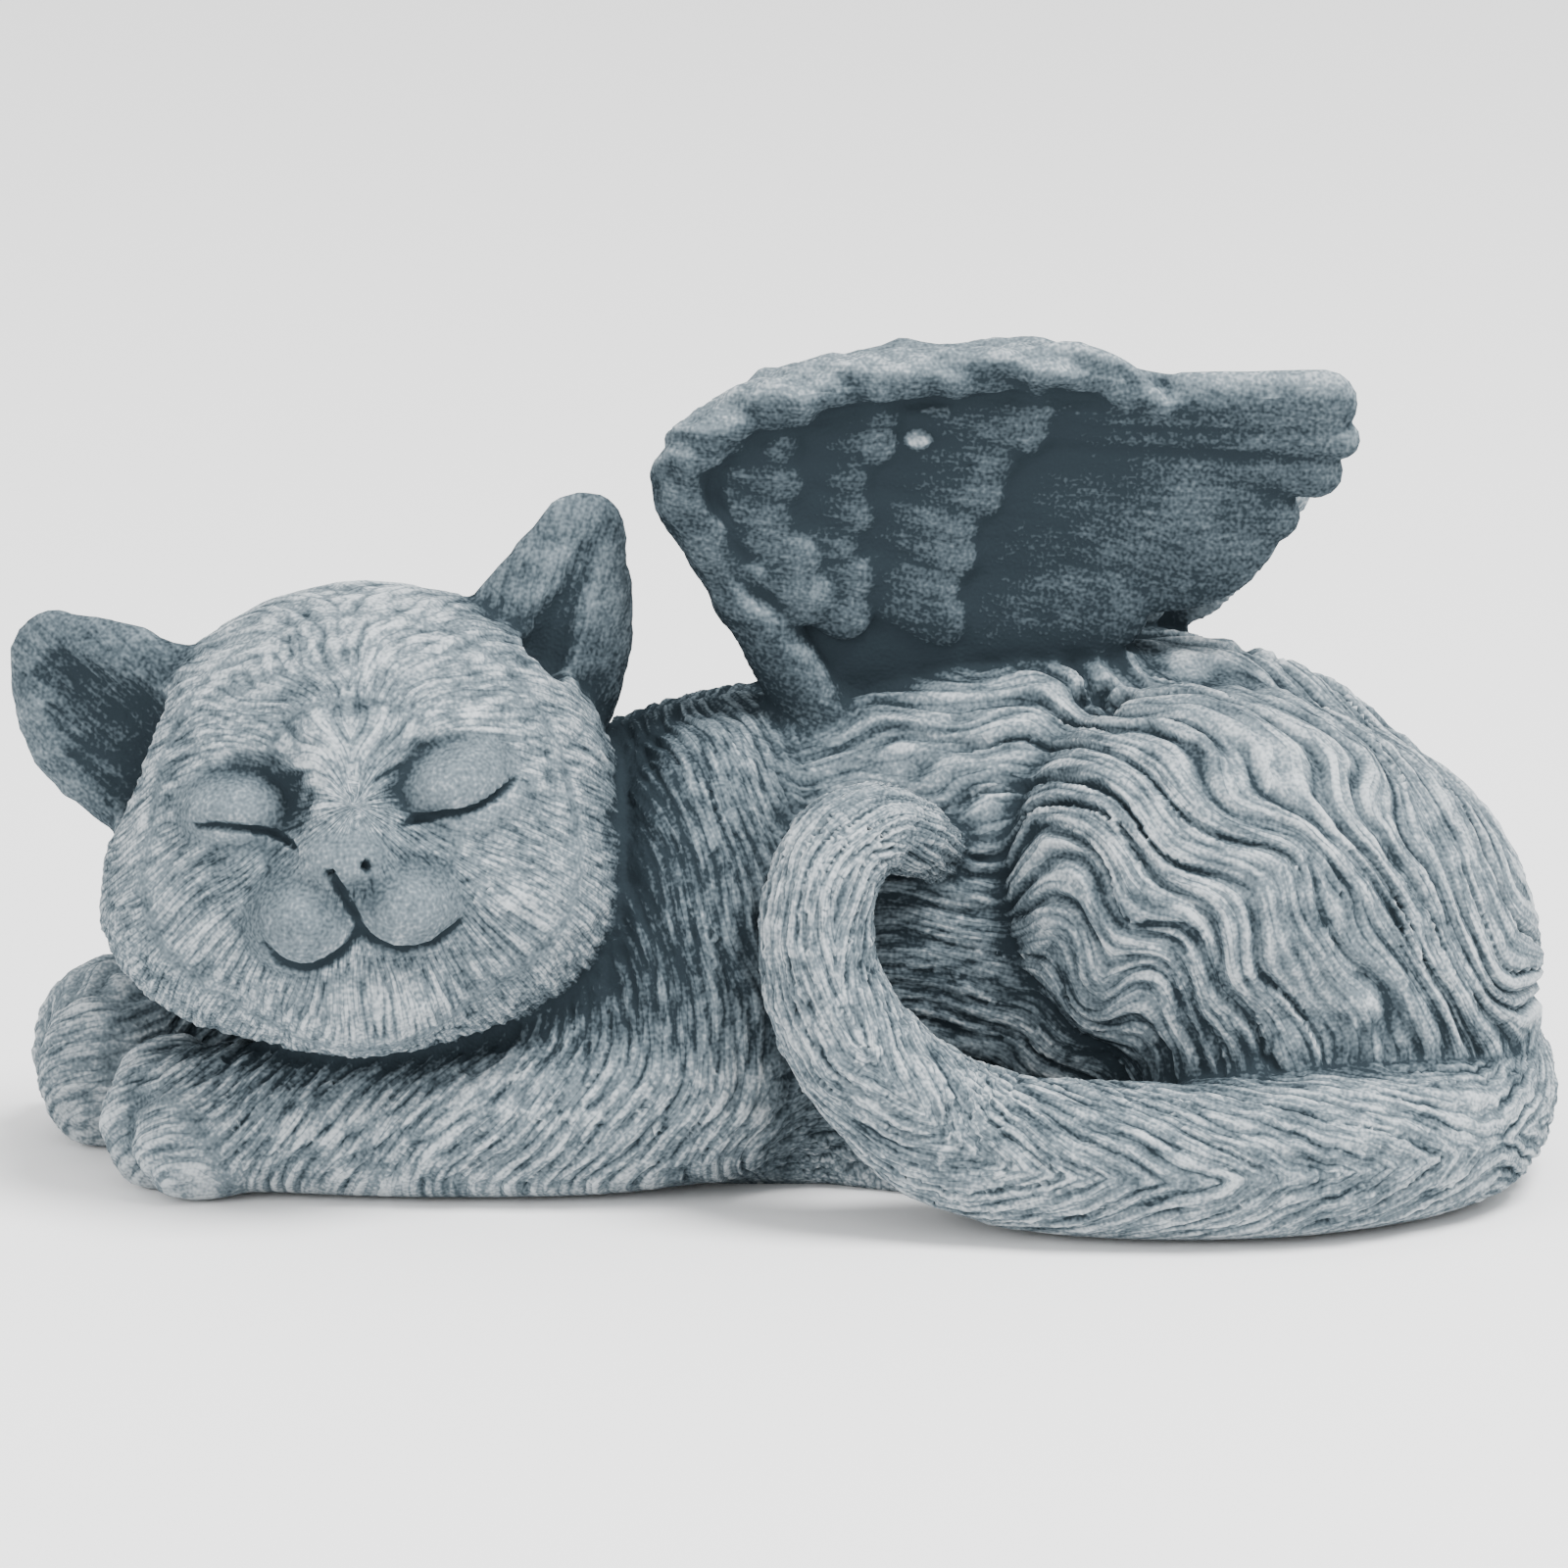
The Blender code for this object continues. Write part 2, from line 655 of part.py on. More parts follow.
def flatten_underside(obj):
    points = read_points(obj.data)
    grounded = points[:, 2] < 0.35 * UNIT
    points[grounded, 2] = 0.0
    write_points(obj.data, points)


def centre_on_base(obj):
    """Origin at the middle of the footprint's box, on the ground."""
    points = read_points(obj.data)
    middle = (points.min(0) + points.max(0)) / 2
    points -= (middle[0], middle[1], points[:, 2].min())
    write_points(obj.data, points)
    return middle


def build():
    clear_scene()
    collection = bpy.data.collections.new("sleeping_winged_kitten")
    bpy.context.scene.collection.children.link(collection)
    statue = bpy.data.objects.new("winged_kitten", rough_mesh())
    collection.objects.link(statue)
    remesh(statue, ROUGH_VOXEL)
    settle(statue, 4)
    remesh(statue, FINE_VOXEL)
    settle(statue, 3)
    remesh(statue, FINE_VOXEL)
    settle(statue, 1)
    carve_haunches(statue)
    thin_out(statue, FACE_COUNT)
    flatten_underside(statue)
    middle = centre_on_base(statue)
    statue.data.materials.append(stone_material())
    statue.data.shade_smooth()
    print("winged kitten:", len(statue.data.polygons), "faces; centred from", middle)


build()
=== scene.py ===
import json
import math

import bpy
import numpy as np
from mathutils import Euler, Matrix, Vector
from mathutils.bvhtree import BVHTree

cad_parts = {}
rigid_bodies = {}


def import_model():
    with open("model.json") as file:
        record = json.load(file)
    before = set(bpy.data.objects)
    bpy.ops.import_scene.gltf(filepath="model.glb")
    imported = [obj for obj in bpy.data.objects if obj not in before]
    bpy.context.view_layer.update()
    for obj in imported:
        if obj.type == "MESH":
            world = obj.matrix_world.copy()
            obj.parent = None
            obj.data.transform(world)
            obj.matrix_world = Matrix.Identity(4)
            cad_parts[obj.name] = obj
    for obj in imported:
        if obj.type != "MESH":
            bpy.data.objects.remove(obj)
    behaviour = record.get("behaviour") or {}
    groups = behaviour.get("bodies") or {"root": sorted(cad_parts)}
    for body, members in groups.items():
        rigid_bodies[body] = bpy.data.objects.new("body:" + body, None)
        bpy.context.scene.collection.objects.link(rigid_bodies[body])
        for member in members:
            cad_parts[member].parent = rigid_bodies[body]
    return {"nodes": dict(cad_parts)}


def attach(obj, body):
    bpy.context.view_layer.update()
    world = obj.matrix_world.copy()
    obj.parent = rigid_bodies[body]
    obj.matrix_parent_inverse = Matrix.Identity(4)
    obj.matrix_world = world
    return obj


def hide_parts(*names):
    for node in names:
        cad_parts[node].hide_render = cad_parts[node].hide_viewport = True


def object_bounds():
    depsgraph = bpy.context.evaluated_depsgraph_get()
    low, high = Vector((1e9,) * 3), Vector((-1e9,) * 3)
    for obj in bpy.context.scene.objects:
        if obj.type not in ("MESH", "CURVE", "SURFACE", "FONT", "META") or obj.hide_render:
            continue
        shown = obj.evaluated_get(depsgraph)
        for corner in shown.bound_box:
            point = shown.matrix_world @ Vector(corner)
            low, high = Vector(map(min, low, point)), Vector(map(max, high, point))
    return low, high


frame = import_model()
cadBox = [[float(value) for value in corner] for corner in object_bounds()]

# The kitten is carved in its sculptor's axes, in millimetres, and put back on the model's axes at the end
kittenStone = {
    "shift": (-0.784, 7.188, 0.0),
    "coarseClay": 1.2, "clay": 0.7,  # size of the working grain
    "triangles": 188000,
    "farAway": 30.0,
    "reach": 6.0,  # how far out a form is worked out
    "join": 0.9,  # how softly the groups of forms meet
    "groundFillet": 0.9,
    "flatUnder": 0.35,
}


# Forms

def ball(centre, radii, turn=(0, 0, 0)):
    axes = np.array(Euler([math.radians(a) for a in turn]).to_matrix())
    return {"kind": "ball", "centre": np.array(centre, float), "radii": np.array(radii, float), "axes": axes}


def smoothRoute(stations, steps):
    points = np.array(stations, float)
    padded = np.vstack([2 * points[0] - points[1], points, 2 * points[-1] - points[-2]])
    route = []
    for i in range(1, len(padded) - 2):
        before, start, end, after = padded[i - 1 : i + 3]
        for t in np.arange(steps) / steps:
            route.append(0.5 * (2 * start + (end - before) * t
                                + (2 * before - 5 * start + 4 * end - after) * t**2
                                + (3 * start - before - 3 * end + after) * t**3))
    route.append(points[-1])
    return np.array(route)


def limb(stations, steps=6):
    route = smoothRoute(stations, steps)
    return {"kind": "limb", "points": route[:, :3], "radii": route[:, 3], "normal": None, "flatness": 1.0}


def flatLimb(stations, thickness, normal):  # a feather or an ear
    stations = np.array(stations, float)
    return {
        "kind": "limb",
        "points": stations[:, :3],
        "radii": stations[:, 3],
        "normal": np.array(normal, float) / np.linalg.norm(normal),
        "flatness": 2 * stations[:, 3].mean() / thickness,
    }


def formDistance(points, form):
    if form["kind"] == "ball":
        local = (points - form["centre"]) @ form["axes"]
        scaled = np.linalg.norm(local / form["radii"], axis=1)
        slope = np.linalg.norm(local / form["radii"] ** 2, axis=1)
        return scaled * (scaled - 1) / np.maximum(slope, 1e-9)
    stations = form["points"]
    if form["normal"] is not None:
        stretch, normal = form["flatness"] - 1, form["normal"]
        points = points + np.outer((points - stations[0]) @ normal * stretch, normal)
        stations = stations + np.outer((stations - stations[0]) @ normal * stretch, normal)
    nearest = np.full(len(points), 1e3)
    for i in range(len(stations) - 1):
        along = stations[i + 1] - stations[i]
        share = np.clip((points - stations[i]) @ along / (along @ along), 0, 1)
        radius = form["radii"][i] + share * (form["radii"][i + 1] - form["radii"][i])
        gap = np.linalg.norm(points - stations[i] - share[:, None] * along, axis=1) - radius
        nearest = np.minimum(nearest, gap)
    return nearest


def formBox(form):
    reach = form["radii"].max() + kittenStone["reach"]
    middle = form["centre"][None] if form["kind"] == "ball" else form["points"]
    return middle.min(0) - reach, middle.max(0) + reach


def nearDistance(points, form):
    low, high = formBox(form)
    near = np.flatnonzero(((points > low) & (points < high)).all(1))
    gaps = np.full(len(points), kittenStone["farAway"])
    if len(near):
        gaps[near] = formDistance(points[near], form)
    return gaps


def softUnion(first, second, blend):
    lowest = np.minimum(first, second)
    return lowest - blend * np.log(np.exp((lowest - first) / blend) + np.exp((lowest - second) / blend))


def groupDistance(points, group):
    blend = group["blend"]
    total = np.zeros(len(points))
    for form in group["forms"]:
        low, high = formBox(form)
        near = np.flatnonzero(((points > low) & (points < high)).all(1))
        if len(near):
            total[near] += np.exp(-formDistance(points[near], form) / blend)
    return np.minimum(-blend * np.log(np.maximum(total, 1e-30)), kittenStone["farAway"])


# Wings: every feather follows a gently leaning sheet
wings = {
    "rootHeight": 78.0, "rise": 56.0, "gap": 8.5, "lean": 8.0, "thickness": 5.4, "covertThickness": 3.8,
    "farDrop": 5.2, "farScale": 0.93, "farSag": 0.035,
    "primaries": (  # tip x, tip z, angle, length, width
        (90.8, 127.0, 0, 66, 11.4), (91.4, 120.8, -2, 62, 6.4), (88.8, 115.0, -4, 60, 8.6),
        (82.2, 107.4, -7, 56, 8.6), (74.4, 101.6, -9, 50, 9.0), (64.0, 97.0, -10, 44, 8.8),
        (57.5, 90.4, -12, 40, 10.0),
    ),
    "coverts": (  # count, first tip, last tip, first angle, last angle, length, width, layer
        (8, (46.0, 128.0), (28.5, 89.5), -6, -24, 27, 9.6, 1.6),
        (7, (20.0, 126.0), (14.5, 90.5), -10, -28, 23, 9.4, 3.0),
        (5, (4.0, 120.0), (8.5, 93.0), -18, -34, 17, 9.4, 4.4),
    ),
    "leadingEdge": (  # x, z, radius, layer out from the sheet
        (14.0, 60.0, 6.0, -1.5), (7.0, 72.0, 6.0, -1.0), (0.6, 84.0, 5.8, 0.6), (-5.2, 94.0, 5.2, 1.8),
        (-11.2, 102.5, 5.0, 2.6), (-15.0, 111.0, 5.0, 3.4), (-15.8, 117.5, 5.0, 4.0),
        (-12.8, 122.0, 5.0, 4.4), (-7.0, 125.8, 4.9, 4.4), (1.0, 129.4, 4.7, 4.2), (10.0, 131.4, 4.5, 3.8),
        (22.0, 132.6, 4.4, 3.2), (34.0, 133.0, 4.3, 2.2), (46.0, 133.0, 4.3, 1.2), (51.5, 131.8, 4.0, 0.6),
        (58.0, 129.4, 3.4, 0.2),
    ),
}


def sheetDepth(height, layer, side):
    rise = np.clip((height - wings["rootHeight"]) / wings["rise"], 0, 1.2)
    return side * (wings["gap"] / 2 + wings["thickness"] / 2 + wings["lean"] * rise**1.6 + layer)


def placeOnWing(x, z, layer, side):
    y = sheetDepth(z, layer, side)
    if side > 0:
        z -= wings["farDrop"] + wings["farSag"] * max(0, x - 30)
        x = 30 + (x - 30) * wings["farScale"]
    return np.array([x, y, z])


def sheetNormal(height, side):
    return np.array([0, 1, -(sheetDepth(height + 0.5, 0, side) - sheetDepth(height - 0.5, 0, side))])


def feather(tip, angle, length, width, thickness, layer, side):
    tip = np.array(tip, float)
    heading = np.array([math.cos(math.radians(angle)), math.sin(math.radians(angle))])
    end, start = tip - heading * width / 2, tip - heading * (length - width / 2)
    ends = [placeOnWing(*place, layer, side) for place in (start, end)]
    normal = sheetNormal((start[1] + end[1]) / 2, side)
    return flatLimb([(*ends[0], 0.42 * width), (*ends[1], 0.5 * width)], thickness, normal)


def web(start, end, radius, side):
    ends = [placeOnWing(x, z, 0.0, side) for x, z in (start, end)]
    stations = [(*end, radius) for end in ends]
    return flatLimb(stations, 0.75 * wings["thickness"], sheetNormal((start[1] + end[1]) / 2, side))


def wingForms(side):
    feathers = [feather((x, z), angle, length, width, wings["thickness"], -0.5 * i, side)
                for i, (x, z, angle, length, width) in enumerate(wings["primaries"])]
    for count, first, last, firstAngle, lastAngle, length, width, layer in wings["coverts"]:
        for i in range(count):
            share = i / (count - 1)
            bow = -3.6 * math.sin(math.pi * share) + (0.9 if i % 2 else -0.9)
            tip = (first[0] + (last[0] - first[0]) * share + bow, first[1] + (last[1] - first[1]) * share)
            angle = firstAngle + (lastAngle - firstAngle) * share
            feathers.append(feather(tip, angle, length, width, wings["covertThickness"], layer, side))
    webs = [web((16, 106), (62, 110), 18.0, side), web((8, 90), (48, 95), 11.0, side)]
    stations = [(*placeOnWing(x, z, layer, side), radius) for x, z, radius, layer in wings["leadingEdge"]]
    return feathers, webs, limb(stations, 3)


nearFeathers, nearWebs, nearEdge = wingForms(-1)
farFeathers, farWebs, farEdge = wingForms(1)

tailRoute = (  # x, y, z, radius from the rump to the tip
    (108, 14, 16, 13.0), (111.5, -8, 14, 13.6), (105, -31, 13.5, 13.6), (82, -46.5, 13, 13.2),
    (52, -49, 12.6, 12.6), (28, -45.5, 15.5, 12.2), (14.0, -46, 26.5, 10.8), (7.0, -44.5, 37.5, 10.0),
    (5.0, -43.5, 47.5, 9.4), (6.0, -42.5, 55.5, 9.0), (9.4, -40, 61.4, 8.6), (15.0, -36, 63.2, 7.4),
    (20.5, -31, 60.6, 6.2), (23.5, -26, 57.5, 5.2),
)
nearArm = (
    (-14, -21, 18, 16.0), (-34, -22, 14.5, 15.0), (-60, -22, 13, 14.0),
    (-82, -21.5, 12.5, 12.6), (-93, -21, 12, 12.0),
)
farArm = ((-38, 19, 17, 15), (-80, 18, 17.5, 13.2), (-97, 17, 17.5, 13.4), (-106.4, 15, 15.0, 15.4))

ears = {  # x, y, z and radius from the root to the tip, and the way that each ear faces
    "left": ((-100, -13.4, 72, 16.5), (-108, -11.2, 76.5, 15), (-115.5, -9.1, 83.8, 8.8)),
    "leftHollow": ((-103.5, -20.4, 69.5, 11.4), (-108.5, -19, 75, 11.6), (-116, -14.6, 83, 5.8)),
    "leftFace": (0.28, 1, 0),
    "right": ((-41, -9.3, 82, 16), (-37, -8.9, 90, 13.5), (-32.5, -9, 104.8, 7.4)),
    "rightHollow": ((-37.6, -17.2, 87, 4.6), (-34.6, -16.4, 93.5, 4.0), (-30.6, -14.0, 102, 2.6)),
    "rightFace": (-0.3, 1, 0.1),
    "thickness": 10.0,
}


def earBlade(stations, face):
    return flatLimb(smoothRoute(stations, 6), ears["thickness"], face)


masses = {
    "body": {"blend": 2.6, "forms": [
        ball((59, 1, 18), (62.5, 34, 69)),  # back and rump
        ball((34, 0, 50), (42, 25, 35.5)),  # ridge of the back
        ball((0, 2, 34), (54, 31, 44)),  # shoulders
        ball((-26, 0, 32), (34, 30, 34)),  # chest
        ball((-12, -16, 42), (18, 20, 34)), ball((-10, 18, 40), (20, 20, 32)),  # upper arms
        limb(nearArm), limb(farArm),
    ]},
    "toes": {"blend": 0.8, "forms": [
        ball((-93.0, -27.0, 9.6), (11.0, 6.4, 10.0), (0, 0, 12)),
        ball((-99.0, -20.0, 10.8), (10.8, 5.4, 12.0), (0, 0, 4)),
        ball((-98.5, -11.6, 11.6), (10.6, 5.4, 12.2), (0, 0, -6)),
        ball((-110.8, 6.0, 12.4), (11.0, 6.4, 13.4)), ball((-112.2, 15.4, 13.4), (11.2, 5.8, 14.4)),
        ball((-109.5, 24.0, 12.6), (11.0, 6.4, 13.4)),
    ]},
    "haunches": {"blend": 1.4, "forms": [
        ball((68.5, -18, 50), (36, 31, 33)), ball((87, -13, 33), (35, 30, 41)),
        ball((76, -20, 26), (27, 25, 26)),
        ball((66, 17, 46), (35, 31, 32)), ball((84, 16, 32), (33, 29, 38)),
        ball((44, -40, 9.5), (7.5, 6, 6.5)), ball((52, 34, 10), (22, 12, 10)),  # hind paws
    ]},
    "tail": {"blend": 1.0, "forms": [limb(tailRoute)]},
    "head": {"blend": 2.2, "forms": [
        ball((-66, -15, 62), (40, 33.5, 36)),  # skull
        ball((-87, -23, 49), (22, 22, 20), (0, -10, 0)),  # cheeks
        ball((-47.5, -24, 52), (22, 22, 21), (0, 12, 0)),
        ball((-68, -26, 41), (29, 22, 16)),  # throat
        ball((-68.5, -38.5, 51), (21, 13.5, 13), (0, -11, 0)),  # muzzle
        ball((-66.5, -41, 38.0), (13, 9.5, 9.5)),  # chin
        ball((-69.5, -41, 69), (7.5, 9, 15), (0, -8, 0)),  # bridge of the nose
    ]},
    "ears": {"blend": 1.6, "forms": [
        earBlade(ears["left"], ears["leftFace"]), earBlade(ears["right"], ears["rightFace"]),
    ]},
    "nearWing": {"blend": 0.45, "forms": nearFeathers + nearWebs + [nearEdge]},
    "farWing": {"blend": 0.45, "forms": farFeathers + farWebs + [farEdge]},
}
scoops = (  # hollow, softness of its rim
    (earBlade(ears["leftHollow"], ears["leftFace"]), 0.7), (limb(ears["rightHollow"]), 0.7),
    (ball((-85.2, -48.2, 69.6), (11.0, 9.6, 8.4), (0, -6, -18)), 1.5),  # eye sockets
    (ball((-51.6, -49.0, 73.8), (11.0, 9.6, 8.6), (0, -20, 20)), 1.5),
)
swells = (  # forms added after the hollows
    (ball((-85.4, -37.6, 67.0), (9.4, 8.4, 6.2), (0, -4, -14)), 0.9),  # closed eyes
    (ball((-52.0, -38.6, 71.6), (9.6, 8.4, 6.4), (0, -18, 16)), 0.9),
    (ball((-84.6, -37.6, 62.2), (9.0, 6.4, 4.6), (0, 4, -14)), 1.4),  # under the eyes
    (ball((-49.6, -38.6, 66.4), (9.6, 6.4, 4.6), (0, -22, 16)), 1.4),
    (ball((-75.6, -45.6, 51.2), (8.2, 10.2, 7.8), (0, -10, 0)), 1.2),  # pads of the muzzle
    (ball((-59.4, -46.0, 53.6), (8.4, 10.0, 7.4), (0, -14, 0)), 1.2),
    (ball((-68.2, -50.2, 61.6), (6.0, 4.4, 3.8), (0, -8, 0)), 1.8),  # nose
)


def statueDistance(points):
    whole = None
    for group in masses.values():
        gap = groupDistance(points, group)
        whole = gap if whole is None else softUnion(whole, gap, kittenStone["join"])
    for form, blend in scoops:
        whole = -softUnion(-whole, nearDistance(points, form), blend)
    for form, blend in swells:
        whole = softUnion(whole, nearDistance(points, form), blend)
    return -softUnion(-whole, points[:, 2], kittenStone["groundFillet"])


# Working clay: a fine even mesh made from the model's own solid

def readPoints(mesh):
    flat = np.empty(len(mesh.vertices) * 3, np.float32)
    mesh.vertices.foreach_get("co", flat)
    return flat.reshape(-1, 3).astype(float) * 1000 - kittenStone["shift"]


def writePoints(mesh, points):
    mesh.vertices.foreach_set("co", ((points + kittenStone["shift"]) / 1000).astype(np.float32).ravel())
    mesh.update()


def readNormals(mesh):
    flat = np.empty(len(mesh.vertices) * 3, np.float32)
    mesh.vertex_normals.foreach_get("vector", flat)
    return flat.reshape(-1, 3).astype(float)


def readEdges(mesh):
    flat = np.empty(len(mesh.edges) * 2, np.int32)
    mesh.edges.foreach_get("vertices", flat)
    return flat.reshape(-1, 2)


def neighbourMean(values, edges):
    count = len(values)
    ones = np.bincount(edges[:, 0], minlength=count) + np.bincount(edges[:, 1], minlength=count)
    columns = values if values.ndim == 2 else values[:, None]
    start, end = edges[:, 0], edges[:, 1]
    mean = np.stack([np.bincount(start, column[end], count) + np.bincount(end, column[start], count)
                     for column in columns.T], axis=1) / np.maximum(ones, 1)[:, None]
    return mean if values.ndim == 2 else mean[:, 0]


def makeClay():
    bpy.ops.object.select_all(action="DESELECT")
    source = frame["nodes"]["winged_kitten"]
    source.select_set(True)
    bpy.context.view_layer.objects.active = source
    bpy.ops.object.duplicate()
    clay = bpy.context.active_object
    bpy.ops.object.parent_clear(type="CLEAR_KEEP_TRANSFORM")
    clay.name = clay.data.name = "stoneKitten"
    bpy.ops.object.mode_set(mode="EDIT")
    bpy.ops.mesh.select_all(action="SELECT")
    bpy.ops.mesh.remove_doubles(threshold=0.00001)
    bpy.ops.mesh.normals_make_consistent(inside=False)
    bpy.ops.object.mode_set(mode="OBJECT")
    return clay


def evenOut(clay, size):  # an even skin of small faces
    grain = clay.modifiers.new("grain", "REMESH")
    grain.mode = "VOXEL"
    grain.voxel_size = size / 1000
    bpy.context.view_layer.objects.active = clay
    bpy.ops.object.modifier_apply(modifier="grain")


def settle(clay, rounds, polish=0):  # moves the clay along its own normals onto the forms
    edges = readEdges(clay.data)
    points = readPoints(clay.data)
    for turn in range(polish):
        points += 0.5 * (neighbourMean(points, edges) - points)
    writePoints(clay.data, points)
    for turn in range(rounds):
        points, normals = readPoints(clay.data), readNormals(clay.data)
        here = statueDistance(points)
        probe = 0.15
        slope = (statueDistance(points + probe * normals) - here) / probe
        step = np.clip(here / np.maximum(slope, 0.35), -1.0, 1.0)
        points = points - step[:, None] * normals
        if turn < rounds - 1:
            points += 0.5 * (neighbourMean(points, edges) - points)
        writePoints(clay.data, points)


clay = makeClay()
evenOut(clay, kittenStone["coarseClay"])
settle(clay, 4, 3)
evenOut(clay, kittenStone["clay"])
settle(clay, 2, 1)
print("forms settled: %d points" % len(clay.data.vertices))


# Flow of the fur: u runs along the strokes and v across them, in millimetres. Each map adds a number of its
# own to v, so that no two share their random cells

def smooth(value, low, high):
    share = np.clip((value - low) / (high - low), 0, 1)
    return share * share * (3 - 2 * share)


def drift(points, size, salt):  # slow wandering, about -1 to 1
    chance = np.random.default_rng(salt)
    total = np.zeros(len(points))
    for _ in range(6):
        heading = chance.normal(size=3)
        heading *= 2 * math.pi * chance.uniform(0.6, 1.5) / (size * np.linalg.norm(heading))
        total += np.sin(points @ heading + chance.uniform(0, 6.28))
    return total / 2.4


def drifts(points, layers):
    return sum(gain * drift(points, size, salt) for gain, size, salt in layers)


headFlow = {  # the strokes run out from the pole, near the nose
    "centre": (-66.0, -15.0, 62.0), "radius": 38.0,
    "pole": (-0.02, -0.974, 0.225), "up": (-0.087, 0.22, 0.97),
    "swirl": 0.017,
    "bands": (9.0, 18.0, 26.0),  # radii for which the strokes keep their width
    "steps": ((15.0, 23.0), (34.0, 44.0)), "split": 28.0,  # where one band gives way to the next
}


def headCoordinates(points):
    pole = np.array(headFlow["pole"]) / np.linalg.norm(headFlow["pole"])
    up = np.array(headFlow["up"]) - np.dot(headFlow["up"], pole) * pole
    up /= np.linalg.norm(up)
    aside = np.cross(up, pole)
    local = points - headFlow["centre"]
    local /= np.maximum(np.linalg.norm(local, axis=1, keepdims=True), 1e-6)
    out = headFlow["radius"] * np.arccos(np.clip(local @ pole, -1, 1))
    across, rising = local @ aside, local @ up
    turn = np.arctan2(np.abs(across), rising)
    lean = headFlow["swirl"] * out * (0.25 + 0.75 * smooth(turn, -0.4, 1.2)) * (1 - smooth(turn, 1.3, 2.9))
    turn += 0.22 * np.maximum(0, turn - 1.5) ** 2  # the strokes stay as fine below the chin
    swing, slide = 0.7 * drift(points, 18, 5), 1.5 * drift(points, 20, 6)
    coordinates = [np.stack([out + slide + 40 * k, band * (turn - lean) + swing + 200 * k], axis=1)
                   for k, band in enumerate(headFlow["bands"])]
    first, second = (smooth(out, *step) for step in headFlow["steps"])
    return coordinates, first * (1 - second), (out > headFlow["split"])[:, None]


bodyFlow = {
    "axis": 30.0, "girth": 38.0, "belly": 40.0,  # height that the flank curves round, radius and start of v
    "turnFrom": 20.0, "turnRadius": 58.0,  # x at which the flow starts to turn down the haunch
    "waveLength": 34.0, "waveDepth": 2.6, "waveSlant": 0.35,
}


def bodyCoordinates(points):  # level strokes along the flank that turn into waved locks down the haunch
    girth = bodyFlow["girth"] * np.arctan2(points[:, 2] - bodyFlow["axis"], np.abs(points[:, 1]))
    rise = girth + bodyFlow["belly"]
    beyond = points[:, 0] - bodyFlow["turnFrom"]
    behind = np.maximum(beyond, 0)
    radius = np.hypot(behind, rise)
    scale = bodyFlow["turnRadius"]
    turned = np.where(beyond > 0, scale * np.arctan2(behind, rise), scale * beyond / np.maximum(rise, 8))
    phase = 2 * np.pi * (turned - bodyFlow["waveSlant"] * radius) / bodyFlow["waveLength"]
    phase = phase + 1.5 * drift(points, 60, 7)
    wave = bodyFlow["waveDepth"] * smooth(behind, 6, 34) * np.sin(phase)
    wave = wave + 1.8 * drift(points, 34, 15) + 0.5 * drift(points, 14, 8)
    return np.stack([turned, radius + wave + 400 * (points[:, 1] > 0)], axis=1)


armFlow = {
    "bendFrom": 12.0, "bendDepth": 26.0,  # heights over which the strokes turn upright
    "lowSlope": 0.64, "slope": 0.95, "paw": -100.0,
}


def armCoordinates(points):  # slanting strokes on the forearm that stand up over the shoulder
    low, depth, slope, paw = (armFlow[name] for name in ("bendFrom", "bendDepth", "slope", "paw"))
    height = points[:, 2] + 0.7 * np.maximum(0, 33 - np.abs(points[:, 1]))
    t = height - 0.35 * np.maximum(0, -15 - points[:, 0])
    bend = np.clip((t - low) / depth, 0, 1)
    across = armFlow["lowSlope"] * t - slope * depth * bend**2 / 2 - slope * np.maximum(0, t - (low + depth))
    forward = np.maximum(points[:, 0], paw + 0.3 * (points[:, 0] - paw))
    side = 600 * (points[:, 1] > 0)
    sideways = slope * forward - across + 0.9 * drift(points, 26, 9) + side
    return np.stack([height + 0.5 * forward, sideways], axis=1)


def toeCoordinates(points):  # strokes along the toes
    return points[:, [0, 2]] * [1, 0.8] + np.outer(points[:, 1], [0, 0.9]) + 2100


tailFlow = {
    "girth": 12.5, "front": (0.35, -1, 0),
    "slopes": ((0.16, 0), (0.34, 55), (-1.0, 160)),  # slope, and from how far along it is added
}


def tailCoordinates(points):  # strokes from both edges that meet along the middle
    route = smoothRoute(tailRoute, 6)[:, :3]
    steps = np.linalg.norm(np.diff(route, axis=0), axis=1)
    travelled = np.concatenate([[0], np.cumsum(steps)])
    best, along, angle = np.full(len(points), 1e9), np.zeros(len(points)), np.zeros(len(points))
    for i in range(len(route) - 1):
        step = route[i + 1] - route[i]
        share = np.clip((points - route[i]) @ step / (step @ step), 0, 1)
        offset = points - route[i] - share[:, None] * step
        gap = np.linalg.norm(offset, axis=1)
        closer = gap < best
        heading = step / np.linalg.norm(step)
        front = np.array(tailFlow["front"]) - np.dot(tailFlow["front"], heading) * heading
        front /= np.linalg.norm(front)
        rising = np.cross(heading, front)
        best[closer] = gap[closer]
        along[closer] = travelled[-1] - travelled[i] - share[closer] * steps[i]
        angle[closer] = np.arctan2(offset[closer] @ rising, offset[closer] @ front)
    girth = np.abs(angle) * tailFlow["girth"]
    slope = sum(gain * np.maximum(0, along - start) for gain, start in tailFlow["slopes"])
    girth = girth + slope + 0.7 * drift(points, 20, 12)
    return np.stack([along + 1.5 * drift(points, 18, 11), girth + 800], axis=1)


wingFlow = {"pivot": (-115.0, 127.0), "radius": 180.0}  # the strokes fan out from the pivot


